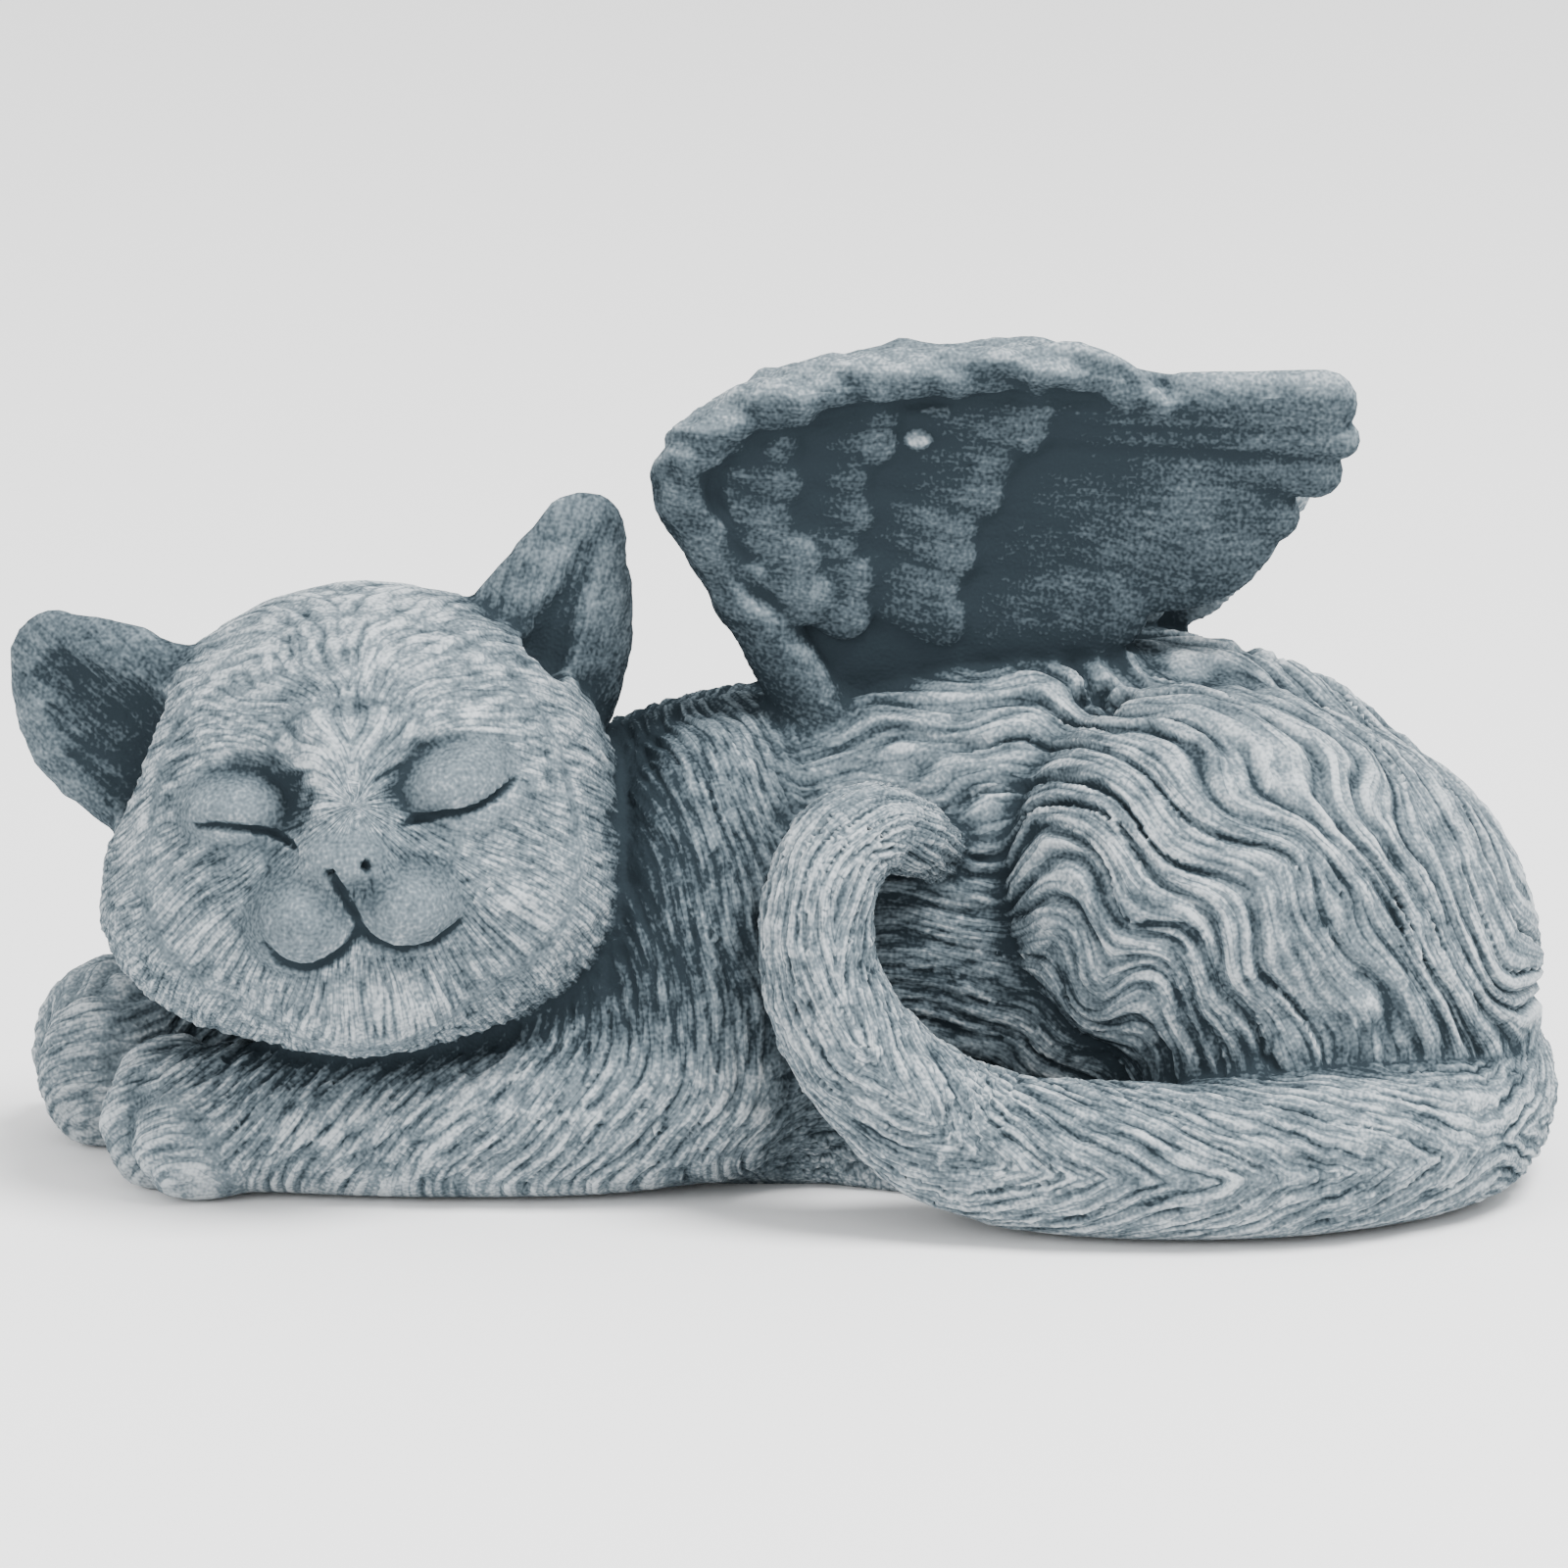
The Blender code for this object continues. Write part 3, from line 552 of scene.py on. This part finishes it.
def wingCoordinates(points):  # strokes along the feathers
    dx, dz = points[:, 0] - wingFlow["pivot"][0], points[:, 2] - wingFlow["pivot"][1]
    height = wingFlow["radius"] * np.arctan2(dz, dx) + 1.2 * drift(points, 24, 13)
    return np.stack([np.hypot(dx, dz), height + 1200 + 300 * (points[:, 1] > 0)], axis=1)


earFlow = {  # root and heading of each ear, and x between the two
    "roots": ((-100.0, 0, 72), (-40.0, 0, 84)), "headings": ((-0.78, 0.0, 0.62), (0.26, 0.0, 0.97)),
    "between": -70.0,
}


def earCoordinates(points):  # outward from the head towards the tips
    left = (points[:, 0] < earFlow["between"])[:, None]
    tip = np.where(left, *earFlow["headings"])
    flat = points - np.where(left, *earFlow["roots"])
    along = (flat * tip).sum(1)
    across = flat[:, 0] * tip[:, 2] - flat[:, 2] * tip[:, 0]
    return np.stack([along, across + 1600], axis=1)


def furCoordinates(points):  # two sets of coordinates, how far the second counts, and each part's share
    gaps = np.stack([groupDistance(points, masses[name]) for name in masses], axis=1)
    names = list(masses)
    share = np.exp(-np.clip(gaps - gaps.min(1, keepdims=True), 0, 40) / 0.8)
    share /= share.sum(1, keepdims=True)
    parts = {name: share[:, i] for i, name in enumerate(names)}
    head, middle, outer = headCoordinates(points)
    forward = 1 - smooth(points[:, 0], -12, 12)  # from the body to the shoulder
    weights = {
        "a": {
            "headInner": parts["head"] * (1 - middle),
            "body": parts["body"] * (1 - forward) + parts["haunches"], "toe": parts["toes"],
        },
        "b": {
            "headMiddle": parts["head"] * middle, "arm": parts["body"] * forward, "tail": parts["tail"],
            "wing": parts["nearWing"] + parts["farWing"], "ear": parts["ears"],
        },
    }
    maps = {
        "headInner": np.where(outer, head[2], head[0]), "headMiddle": head[1],
        "body": bodyCoordinates(points), "toe": toeCoordinates(points), "arm": armCoordinates(points),
        "tail": tailCoordinates(points), "wing": wingCoordinates(points), "ear": earCoordinates(points),
    }
    channels, totals = [], []
    for channel in ("a", "b"):
        keys = list(weights[channel])
        stack = np.stack([weights[channel][key] for key in keys], axis=1)
        best = stack.argmax(1)
        chosen = np.zeros((len(points), 2))
        for i, key in enumerate(keys):
            chosen[best == i] = maps[key][best == i]
        channels.append(chosen)
        totals.append(stack.sum(1))
    mix = totals[1] / np.maximum(totals[0] + totals[1], 1e-6)
    return channels[0], channels[1], mix, parts


def scatter(row, column, salt):  # the same random number for the same cell
    mixed = (row.astype(np.int64) * 73856093) ^ (column.astype(np.int64) * 19349663) ^ (salt * 83492791)
    mixed = (mixed ^ (mixed >> 13)) * 1274126177 & 0x7FFFFFFF
    return ((mixed ^ (mixed >> 15)) % 65521) / 65521.0


def strokes(flow, length, width, salt):  # short single cuts of the knife
    u, v = flow[:, 0] / length, flow[:, 1] / width
    deepest = np.zeros(len(u))
    row = np.floor(v)
    for dr in (-1, 0, 1):
        lane = row + dr
        shifted = u + scatter(lane, lane * 0, salt)
        column = np.floor(shifted)
        for dc in (-1, 0, 1):
            cell = column + dc
            long = 0.55 + 0.45 * scatter(lane, cell, salt + 1)
            wide = 0.34 + 0.22 * scatter(lane, cell, salt + 2)
            du = (shifted - cell - 0.5 - 0.3 * (scatter(lane, cell, salt + 3) - 0.5)) / long
            dv = v - lane - 0.5 - 0.5 * (scatter(lane, cell, salt + 4) - 0.5)
            slant, bow = scatter(lane, cell, salt + 5) - 0.5, scatter(lane, cell, salt + 6) - 0.5
            dv -= slant * 0.9 * du + 0.5 * bow * (du**2 - 0.5)
            taper = np.clip(1 - du**2, 0, 1)
            cut = np.clip(1 - np.abs(dv) / (wide * np.sqrt(taper) + 1e-4), 0, 1) * taper**0.6
            deepest = np.maximum(deepest, cut * (0.55 + 0.45 * scatter(lane, cell, salt + 7)))
    return deepest


def locks(flow, length, width, salt):  # the grooves between long locks that taper into one another
    u, v = flow[:, 0] / length, flow[:, 1] / width
    column, row = np.floor(u), np.floor(v)
    near, later = np.full(len(u), 9.0), np.full(len(u), 9.0)
    nearPlace, laterPlace = np.zeros((len(u), 2)), np.zeros((len(u), 2))
    for dr in (-1, 0, 1):
        for dc in (-1, 0, 1):
            du = u - column - dc - scatter(row + dr, column + dc, salt)
            dv = v - row - dr - scatter(row + dr, column + dc, salt + 1)
            gap, place = np.hypot(du, dv), np.stack([du, dv], axis=1)
            closer = gap < near
            second = ~closer & (gap < later)
            later = np.where(closer, near, np.where(second, gap, later))
            laterPlace = np.where(closer[:, None], nearPlace, np.where(second[:, None], place, laterPlace))
            near, nearPlace = np.where(closer, gap, near), np.where(closer[:, None], place, nearPlace)
    apart = laterPlace - nearPlace
    across = np.abs(apart[:, 1]) / np.maximum(np.linalg.norm(apart, axis=1), 1e-6)
    return (1 - smooth(later - near, 0.04, 0.5)) * smooth(across, 0.2, 0.7)  # none across a lock's end


bareSkin = tuple(form for form, blend in swells)  # eyelids, pads and nose have no fur


def earHollow(points):
    inside = np.minimum(nearDistance(points, scoops[0][0]), nearDistance(points, scoops[1][0]))
    return 1 - smooth(inside, 0.3, 1.6)


def furShare(points):
    nearest = np.full(len(points), kittenStone["farAway"])
    for form in bareSkin:
        nearest = np.minimum(nearest, nearDistance(points, form))
    return smooth(nearest, 0.5, 2.0)


furScales = {  # length and width of the cuts on the first and the second flow, in millimetres
    "locks": ((26.0, 4.6), (15.0, 2.8)), "strokes": ((10.0, 1.8), (9.0, 1.6)),
    "lockDepth": 1.3, "strokeDepth": 0.8, "finerFace": 1.3,
    "deeperJaw": 0.5, "deeperBack": 0.5, "deeperEars": 0.5,
}
furDepth = {  # how deep each part's locks and strokes are cut
    "body": (0.5, 0.8), "toes": (0.3, 0.6), "haunches": (1.0, 0.9), "tail": (0.5, 0.7), "head": (0.12, 0.45),
    "ears": (0.0, 0.15), "nearWing": (0.0, 0.2), "farWing": (0.0, 0.2),
}


def furRelief(points):
    first, second, mix, parts = furCoordinates(points)
    lockShare, strokeShare = (sum(parts[name] * furDepth[name][k] for name in parts) for k in (0, 1))
    lockShare += parts["body"] * furScales["deeperBack"] * smooth(points[:, 0], 25, 45)
    strokeShare += furScales["deeperEars"] * parts["ears"] * earHollow(points)
    finer = np.where(parts["head"] > 0.5, furScales["finerFace"], 1.0)[:, None]
    first, second = first * finer, second * finer
    cuts = []
    for kind, tool in (("locks", locks), ("strokes", strokes)):
        firstScale, secondScale = furScales[kind]
        cuts.append((1 - mix) * tool(first, *firstScale, 3) + mix * tool(second, *secondScale, 103))
    rim = np.maximum(1 - smooth(points[:, 2], 36, 50), smooth(points[:, 1], -38, -26))
    jaw = 1 + furScales["deeperJaw"] * parts["head"] * rim
    groove = furScales["lockDepth"] * lockShare * cuts[0] + furScales["strokeDepth"] * strokeShare * cuts[1]
    return groove * jaw * furShare(points), first, second, mix, parts


def haunchEdge(parts, points):  # the front outline of the haunch
    return (np.clip(4 * parts["body"] * parts["haunches"], 0, 1) * smooth(points[:, 0], 28, 36)
            * (1 - smooth(points[:, 0], 52, 62)) * (1 - smooth(points[:, 2], 62, 74)))


# Creases of the eyes, nose and mouth, as routes over the face seen from the front

creases = (  # route in x and z, half-width, depth
    (((-92.0, 65.4), (-88.1, 65.7), (-83.2, 65.3), (-78.9, 64.2), (-76.2, 63.0)), 0.75, 1.4),
    (((-59.8, 66.6), (-56.4, 67.2), (-52.8, 67.9), (-49.0, 68.5), (-45.5, 69.9), (-42.2, 72.4)), 0.75, 1.4),
    (((-70.7, 60.4), (-69.3, 57.9), (-68.0, 55.2), (-66.4, 52.6)), 0.9, 1.3),
    (((-66.4, 52.6), (-66.4, 50.9), (-67.0, 49.6), (-68.6, 47.4), (-70.9, 45.7),
      (-72.7, 44.9), (-74.9, 44.4), (-76.8, 44.9), (-78.7, 45.7), (-81.2, 48.4)), 1.1, 1.3),
    (((-66.4, 52.4), (-65.5, 50.3), (-63.2, 48.7), (-60.8, 47.6),
      (-58.0, 47.5), (-55.6, 47.8), (-53.6, 48.7), (-50.6, 51.0)), 1.0, 1.5),
    (((-70.9, 60.4), (-70.4, 59.8)), 1.1, 2.2), (((-65.0, 62.0), (-64.9, 60.9)), 0.9, 2.6),  # nostrils
)

marks = {  # place, radii and depth of the torn pit beside the spine and of the pale chip on the wing
    "pit": ((50.0, -17.0, 82.5), (6.6, 6.0, 5.0), 3.4), "chip": ((21.3, -16.0, 121.6), (2.7, 3.0, 1.8), -0.9),
}


def markShare(points, name):
    centre, radii = marks[name][:2]
    away = np.linalg.norm((points - centre) / radii, axis=1)
    return 1 - smooth(away, 0.55, 1.0)


def creaseRelief(points):
    front = (points[:, 1] < -25) & (points[:, 0] < -35) & (points[:, 0] > -115)
    near = np.flatnonzero(front)
    cut = np.zeros(len(points))
    for route, halfWidth, depth in creases:
        line = smoothRoute(route, 6)
        seen = points[near][:, [0, 2]]
        best = np.full(len(near), 1e9)
        fade = np.ones(len(near))
        for i in range(len(line) - 1):
            step = line[i + 1] - line[i]
            share = np.clip((seen - line[i]) @ step / (step @ step), 0, 1)
            gap = np.linalg.norm(seen - line[i] - share[:, None] * step, axis=1)
            closer = gap < best
            best[closer] = gap[closer]
            position = (i + share[closer]) / (len(line) - 1)
            fade[closer] = np.clip(4.5 * np.minimum(position, 1 - position) + 0.45, 0, 1)
        profile = np.clip(1 - (best / (halfWidth * (0.6 + 0.4 * fade))) ** 2, 0, 1)
        cut[near] = np.maximum(cut[near], depth * fade * profile)
    return cut


carving = {  # in millimetres; layers of drift are depth, size and random seed
    "outline": 0.8,  # the haunch's front edge
    "uneven": ((0.16, 7, 24), (0.08, 3.4, 25)),  # the wandering of the hand
    "edgeLumps": ((0.55, 12, 21), (0.4, 5, 22)), "edgeSetback": 0.4,  # the wings' leading edges
}
bare = readPoints(clay.data)
groove, first, second, mix, parts = furRelief(bare)
crease = creaseRelief(bare)
groove *= 1 - smooth(crease, 0.05, 0.6)
normals = readNormals(clay.data)
ground = smooth(bare[:, 2], 0.6, 4.0)
edgeShare = 1 - smooth(np.minimum(formDistance(bare, nearEdge), formDistance(bare, farEdge)), 0.5, 2.5)
lumps = edgeShare * smooth(bare[:, 2], 84, 96) * (drifts(bare, carving["edgeLumps"]) - carving["edgeSetback"])
pit = marks["pit"][2] * markShare(bare, "pit") * (1 + 0.7 * drift(bare, 4, 23))
chip = marks["chip"][2] * markShare(bare, "chip")
outline = carving["outline"] * haunchEdge(parts, bare)
handmade = drifts(bare, carving["uneven"]) * (1 - parts["nearWing"] - parts["farWing"])
outline -= handmade * furShare(bare) * ground
writePoints(clay.data, bare + normals * ((lumps - groove * ground - crease - pit - chip - outline)[:, None]))
print("fur cut")

thinning = clay.modifiers.new("thinning", "DECIMATE")
thinning.ratio = kittenStone["triangles"] / (2 * len(clay.data.polygons))
bpy.context.view_layer.objects.active = clay
bpy.ops.object.modifier_apply(modifier="thinning")
low, high = (np.array(corner) * 1000 - kittenStone["shift"] for corner in cadBox)  # keeps the model's size
thinned = np.clip(readPoints(clay.data), low + 0.01, high - 0.01)
thinned[thinned[:, 2] < kittenStone["flatUnder"], 2] = 0
writePoints(clay.data, thinned)
print("thinned: %d triangles" % sum(len(face.vertices) - 2 for face in clay.data.polygons))


# Finish: a dark wash left in the cuts of blue-grey stone, with the ridges brushed light; painted shade is
# added in sheltered places, on the near wing's downward face, on the ears, on the chest behind the head,
# along the face creases and the haunch's front edge and in broad hollows, with painted light on broad swells

finish = {
    "tones": (  # place on the ramp, colour
        (0.02, (0.019, 0.027, 0.033, 1)), (0.3, (0.062, 0.081, 0.094, 1)), (0.6, (0.138, 0.170, 0.190, 1)),
        (1.0, (0.42, 0.455, 0.475, 1)),
    ),
    "base": 0.385, "roughness": 0.84,
    "hairLength": 5.5, "hairWidth": 0.85,  # millimetres
    "grainScale": 1700.0, "grainDepth": 0.00014,  # per metre, metres
    "rays": 16, "reach": 34.0, "rayStart": 0.8, "grazing": 0.15,  # how shelter is felt out, in millimetres
    "roundings": (3, 36),  # rounds of smoothing that small and large hollows are told by
    "patches": ((0.1, 30, 26), (0.07, 11, 27), (0.05, 5, 28)),  # depth, size and random seed
    "tints": {  # how far each of these moves the tone; the swells, the sheltered places, the dark masks and the lines paint light and shade into it
        "hairs": 0.27, "fur": 0.16, "locks": 0.26, "lockEdges": 0.13, "grooves": -0.06, "ridges": 0.55,
        "swells": 0.14, "grain": 0.55, "occlusionShade": -0.5, "shadesAndTones": -0.3, "lines": -0.3,
    },
    # painted shade on the near wing's face, the ears and the chest behind the head; darker in the torn pit; a
    # darker tone on the bare skin and a paler one on the chip
    "shadesAndTones": {
        "wing": 1.25, "ear": 0.85, "earHollow": 0.2, "pit": 1.0, "chest": 1.6, "bareSkin": 0.45,
        "chip": -0.25,
    },
}


def shelterOf(points, normals, mesh):  # 0 in the open to 1 where other forms stand close in front
    tree = BVHTree.FromPolygons(points.tolist(), [tuple(face.vertices) for face in mesh.polygons])
    blocked, weight = np.zeros(len(points)), np.zeros(len(points))
    for i in range(finish["rays"]):
        height, turn = 1 - (2 * i + 1) / finish["rays"], 2.39996 * i  # the golden angle
        side = math.sqrt(1 - height**2)
        ray = np.array([side * math.cos(turn), side * math.sin(turn), height])
        facing = normals @ ray
        seen = np.flatnonzero(facing > finish["grazing"])
        weight[seen] += facing[seen]
        heading = Vector(ray)
        starts = (points[seen] + finish["rayStart"] * normals[seen]).tolist()
        hit = [tree.ray_cast(start, heading, finish["reach"])[3] for start in starts]
        nearness = np.array([0.0 if gap is None else 1 - gap / finish["reach"] for gap in hit])
        blocked[seen] += nearness * facing[seen]
    return blocked / np.maximum(weight, 1e-6)


def surfaceAttributes(clay):
    points, normals = readPoints(clay.data), readNormals(clay.data)
    edges = readEdges(clay.data)
    groove, first, second, mix, parts = furRelief(points)
    crease = creaseRelief(points)
    patches = drifts(points, finish["patches"])
    rounded = points
    cavities = []
    for rounds in finish["roundings"]:
        for _ in range(rounds):
            rounded = rounded + 0.6 * (neighbourMean(rounded, edges) - rounded)
        cavities.append(((points - rounded) * normals).sum(1))
    # painted shade: the colour is darkened where other forms stand close in front of the surface
    occlusionShade = shelterOf(points, normals, clay.data)
    for _ in range(4):
        occlusionShade += 0.6 * (neighbourMean(occlusionShade, edges) - occlusionShade)
    # painted shade: the near wing's face that turns downward is darkened
    wingFaceShade = parts["nearWing"] * (normals[:, 1] < 0.1) * smooth(-normals[:, 2], -0.45, 0.1)
    # painted shadow of the head on the chest and shoulders
    chest = parts["body"] * (1 - smooth(points[:, 0], -24, 2))
    chest = chest * smooth(points[:, 2], 22, 42)  # only behind the jaw
    shadesAndTones = finish["shadesAndTones"]
    # painted shade: the ears are darkened, the more so in their hollows
    earShade = parts["ears"] * (shadesAndTones["ear"] + shadesAndTones["earHollow"] * earHollow(points))
    dark = np.maximum(shadesAndTones["wing"] * wingFaceShade, earShade) + shadesAndTones["pit"] * markShare(points, "pit")
    dark = dark + shadesAndTones["chest"] * chest + shadesAndTones["bareSkin"] * (1 - furShare(points))
    dark = dark * (1 - markShare(points, "chip")) + shadesAndTones["chip"] * markShare(points, "chip")
    wing = parts["nearWing"] + parts["farWing"]
    skin = np.clip(1 - parts["ears"] * 0.6 - wing * 0.7, 0, 1) * (0.08 + 0.92 * furShare(points))
    # the narrow hollows carry the wash in the cuts and the brushed ridges; the wide ones paint shade into
    # large hollows and light onto large swells, more strongly on the wings
    narrow, wide = cavities[0] * (1 - 0.4 * wing), cavities[1] * (1 + 1.2 * wing)
    # painted shade along the creases of the eyes, nose and mouth and along the haunch's front edge
    lines = smooth(crease, 0.1, 0.9) + 0.6 * haunchEdge(parts, points)
    return {
        "flowA": np.column_stack([first, mix]), "flowB": np.column_stack([second, skin]),
        "washAndShading": np.column_stack([np.clip(groove / 1.2, 0, 1), narrow, wide]),
        # painted shade and the stone's own tone: the dark masks, the darkened creases and the sheltered
        # places less the random patches
        "shadeAndTone": np.column_stack([dark, lines, occlusionShade - patches]),
    }


def storeAttributes(clay, columns):
    for name, values in columns.items():
        layer = clay.data.attributes.new(name, "FLOAT_VECTOR", "POINT")
        layer.data.foreach_set("vector", values.astype(np.float32).ravel())


class Wiring:  # adds shader nodes and joins them up; i0, i1 and so on stand for sockets by their number
    def __init__(self, tree):
        self.tree = tree

    def add(self, kind, settings=None, **inputs):
        node = self.tree.nodes.new(kind)
        for key, value in (settings or {}).items():
            setattr(node, key, value)
        for key, value in inputs.items():
            numbered = key[0] == "i" and key[1:].isdigit()
            socket = node.inputs[int(key[1:]) if numbered else key.replace("_", " ")]
            if hasattr(value, "is_linked"):
                self.tree.links.new(value, socket)
            else:
                socket.default_value = value
        return node

    def sum(self, operation, *values):
        inputs = {"i%d" % i: value for i, value in enumerate(values)}
        return self.add("ShaderNodeMath", {"operation": operation}, **inputs).outputs[0]

    def parts(self, vector):
        return self.add("ShaderNodeSeparateXYZ", i0=vector).outputs

    def stored(self, name):
        return self.add("ShaderNodeAttribute", {"attribute_name": name}).outputs["Vector"]


def newGroup(name, inputs, outputs):
    group = bpy.data.node_groups.new(name, "ShaderNodeTree")
    for label, kind, value in inputs:
        socket = group.interface.new_socket(label, in_out="INPUT", socket_type=kind)
        if value is not None:
            socket.default_value = value
    for label, kind in outputs:
        group.interface.new_socket(label, in_out="OUTPUT", socket_type=kind)
    wiring = Wiring(group)
    return group, wiring, group.nodes.new("NodeGroupInput"), group.nodes.new("NodeGroupOutput")


def hairLines():  # tapering locks and fine lines that follow the flow of the fur
    group, wiring, given, made = newGroup("hairLines", (
        ("Flow", "NodeSocketVector", None),
        ("Length", "NodeSocketFloat", 6.0), ("Width", "NodeSocketFloat", 0.7),
    ), (("Height", "NodeSocketFloat"), ("Cuts", "NodeSocketFloat"), ("Shade", "NodeSocketFloat")))
    split = wiring.parts(given.outputs["Flow"])
    along = wiring.sum("DIVIDE", split["X"], given.outputs["Length"])
    across = wiring.sum("DIVIDE", split["Y"], given.outputs["Width"])
    place = wiring.add("ShaderNodeCombineXYZ", X=along, Y=across).outputs[0]
    cells = wiring.add("ShaderNodeTexVoronoi", {"voronoi_dimensions": "2D", "feature": "F1"},
                       Vector=place, Scale=1.0)
    threads = wiring.add("ShaderNodeTexNoise", {"noise_dimensions": "2D"},
                         Vector=place, Scale=1.9, Detail=0.0)
    cuts = wiring.add("ShaderNodeMapRange", {"interpolation_type": "SMOOTHSTEP"},
                      Value=cells.outputs["Distance"], From_Min=0.42, From_Max=0.72).outputs[0]
    crown = wiring.sum("SUBTRACT", 1.0, wiring.sum("POWER", cells.outputs["Distance"], 1.6))
    height = wiring.sum("MULTIPLY_ADD", threads.outputs["Fac"], 0.8, crown)
    shade = wiring.parts(cells.outputs["Color"])["X"]
    for name, value in (("Height", height), ("Cuts", cuts), ("Shade", shade)):
        group.links.new(value, made.inputs[name])
    return group


def makeStone():
    stone = bpy.data.materials.new("castStone")
    stone.use_nodes = True
    shader = stone.node_tree.nodes["Principled BSDF"]
    wiring = Wiring(stone.node_tree)
    place = wiring.add("ShaderNodeTexCoord").outputs["Object"]
    flowA, flowB, washAndShading, shadeAndTone = (wiring.stored(name) for name in ("flowA", "flowB", "washAndShading", "shadeAndTone"))
    mix, skin = wiring.parts(flowA)["Z"], wiring.parts(flowB)["Z"]
    washAndShading, shadeAndTone = wiring.parts(washAndShading), wiring.parts(shadeAndTone)
    second = wiring.sum("GREATER_THAN", mix, 0.5)
    flow = wiring.add("ShaderNodeMix", {"data_type": "VECTOR"}, Factor=second, i4=flowA, i5=flowB).outputs[1]
    flow = wiring.add("ShaderNodeVectorMath", {"operation": "MULTIPLY"},
                      i0=flow, i1=(1.0, 1.0, 0.0)).outputs[0]  # u and v alone
    apart = wiring.sum("ABSOLUTE", wiring.sum("MULTIPLY_ADD", mix, 2.0, -1.0))  # fades where two flows meet
    skin = wiring.sum("MULTIPLY", skin, wiring.sum("MINIMUM", wiring.sum("MULTIPLY", apart, 2.5), 1.0))
    hairs = wiring.add("ShaderNodeGroup", {"node_tree": hairLines()}, Flow=flow,
                       Length=finish["hairLength"], Width=finish["hairWidth"]).outputs
    grain = wiring.add("ShaderNodeTexNoise",
                       Vector=place, Scale=finish["grainScale"], Detail=0.0).outputs["Fac"]
    height, shade = wiring.sum("SUBTRACT", hairs["Height"], 1.1), wiring.sum("SUBTRACT", hairs["Shade"], 0.5)
    tints = finish["tints"]
    tone = wiring.sum("MULTIPLY_ADD", height, wiring.sum("MULTIPLY", skin, tints["hairs"]), finish["base"])
    tone = wiring.sum("MULTIPLY_ADD", skin, tints["fur"], tone)
    tone = wiring.sum("MULTIPLY_ADD", shade, wiring.sum("MULTIPLY", skin, tints["locks"]), tone)
    edges = wiring.sum("MULTIPLY", skin, tints["lockEdges"])
    tone = wiring.sum("SUBTRACT", tone, wiring.sum("MULTIPLY", hairs["Cuts"], edges))
    # broad painted light and shade: lighter on large swells, darker in large hollows
    grainy, broadShading = wiring.sum("SUBTRACT", grain, 0.5), wiring.sum("MINIMUM", washAndShading["Z"], 0.7)
    for value, name in (
        (washAndShading["X"], "grooves"), (washAndShading["Y"], "ridges"), (broadShading, "swells"), (grainy, "grain"),
        (shadeAndTone["Z"], "occlusionShade"), (shadeAndTone["X"], "shadesAndTones"), (shadeAndTone["Y"], "lines"),
    ):
        tone = wiring.sum("MULTIPLY_ADD", value, tints[name], tone)
    ramp = wiring.add("ShaderNodeValToRGB", Fac=tone)
    steps = ramp.color_ramp.elements
    for step, (position, colour) in zip((steps[0], steps[1]), (finish["tones"][0], finish["tones"][-1])):
        step.position, step.color = position, colour
    for position, colour in finish["tones"][1:-1]:
        steps.new(position).color = colour
    stone.node_tree.links.new(ramp.outputs["Color"], shader.inputs["Base Color"])
    shader.inputs["Roughness"].default_value = finish["roughness"]
    shader.inputs["Specular IOR Level"].default_value = 0.0
    bump = wiring.add("ShaderNodeBump",
                      Strength=0.8, Distance=finish["grainDepth"], Height=grain).outputs["Normal"]
    stone.node_tree.links.new(bump, shader.inputs["Normal"])
    return stone


storeAttributes(clay, surfaceAttributes(clay))
print("finish worked out")

clay.data.materials.clear()
clay.data.materials.append(makeStone())
bpy.ops.object.shade_smooth()

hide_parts("winged_kitten")
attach(clay, "root")


# Studio

studio = {
    "floor": 30.0, "paper": (0.93, 0.93, 0.93, 1),
    "world": 1.5,
    "lights": (  # name, place, size, power
        ("topLight", (0.7, -0.5, 1.6), 0.8, 62.0),
        ("sideLight", (-1.5, -1.5, 0.9), 1.2, 20.0),
    ),
    "target": (-0.00078, 0.00719, 0.0621), "elevation": 13.0, "distance": 1.5, "lens": 213.6,
}


def softLight(name, place, size, power):
    data = bpy.data.lights.new(name, "AREA")
    data.shape = "DISK"
    data.size = size
    data.energy = power
    light = bpy.data.objects.new(name, data)
    light.location = place
    light.rotation_euler = (Vector((0, 0, 0.05)) - Vector(place)).to_track_quat("-Z", "Y").to_euler()
    bpy.context.scene.collection.objects.link(light)


def makeStudio():
    bpy.ops.mesh.primitive_plane_add(size=studio["floor"], location=(0, 0, 0))
    floor = bpy.context.active_object
    floor.name = "floor"
    paper = bpy.data.materials.new("paper")
    paper.use_nodes = True
    shader = paper.node_tree.nodes["Principled BSDF"]
    shader.inputs["Base Color"].default_value = studio["paper"]
    shader.inputs["Roughness"].default_value = 0.9
    shader.inputs["Specular IOR Level"].default_value = 0.0
    floor.data.materials.append(paper)
    world = bpy.data.worlds.new("studioAir")
    world.use_nodes = True
    world.node_tree.nodes["Background"].inputs["Color"].default_value = (1, 1, 1, 1)
    world.node_tree.nodes["Background"].inputs["Strength"].default_value = studio["world"]
    bpy.context.scene.world = world
    for light in studio["lights"]:
        softLight(*light)


def makeCamera():
    lens = bpy.data.cameras.new("camera")
    lens.lens = studio["lens"]
    lens.sensor_width = 36
    lens.clip_start, lens.clip_end = 0.05, 50
    camera = bpy.data.objects.new("camera", lens)
    tilt = math.radians(studio["elevation"])
    back = Vector((0, -math.cos(tilt), math.sin(tilt)))
    camera.location = Vector(studio["target"]) + back * studio["distance"]
    camera.rotation_euler = (-back).to_track_quat("-Z", "Y").to_euler()
    bpy.context.scene.collection.objects.link(camera)
    bpy.context.scene.camera = camera


makeStudio()
makeCamera()
print("studio set")
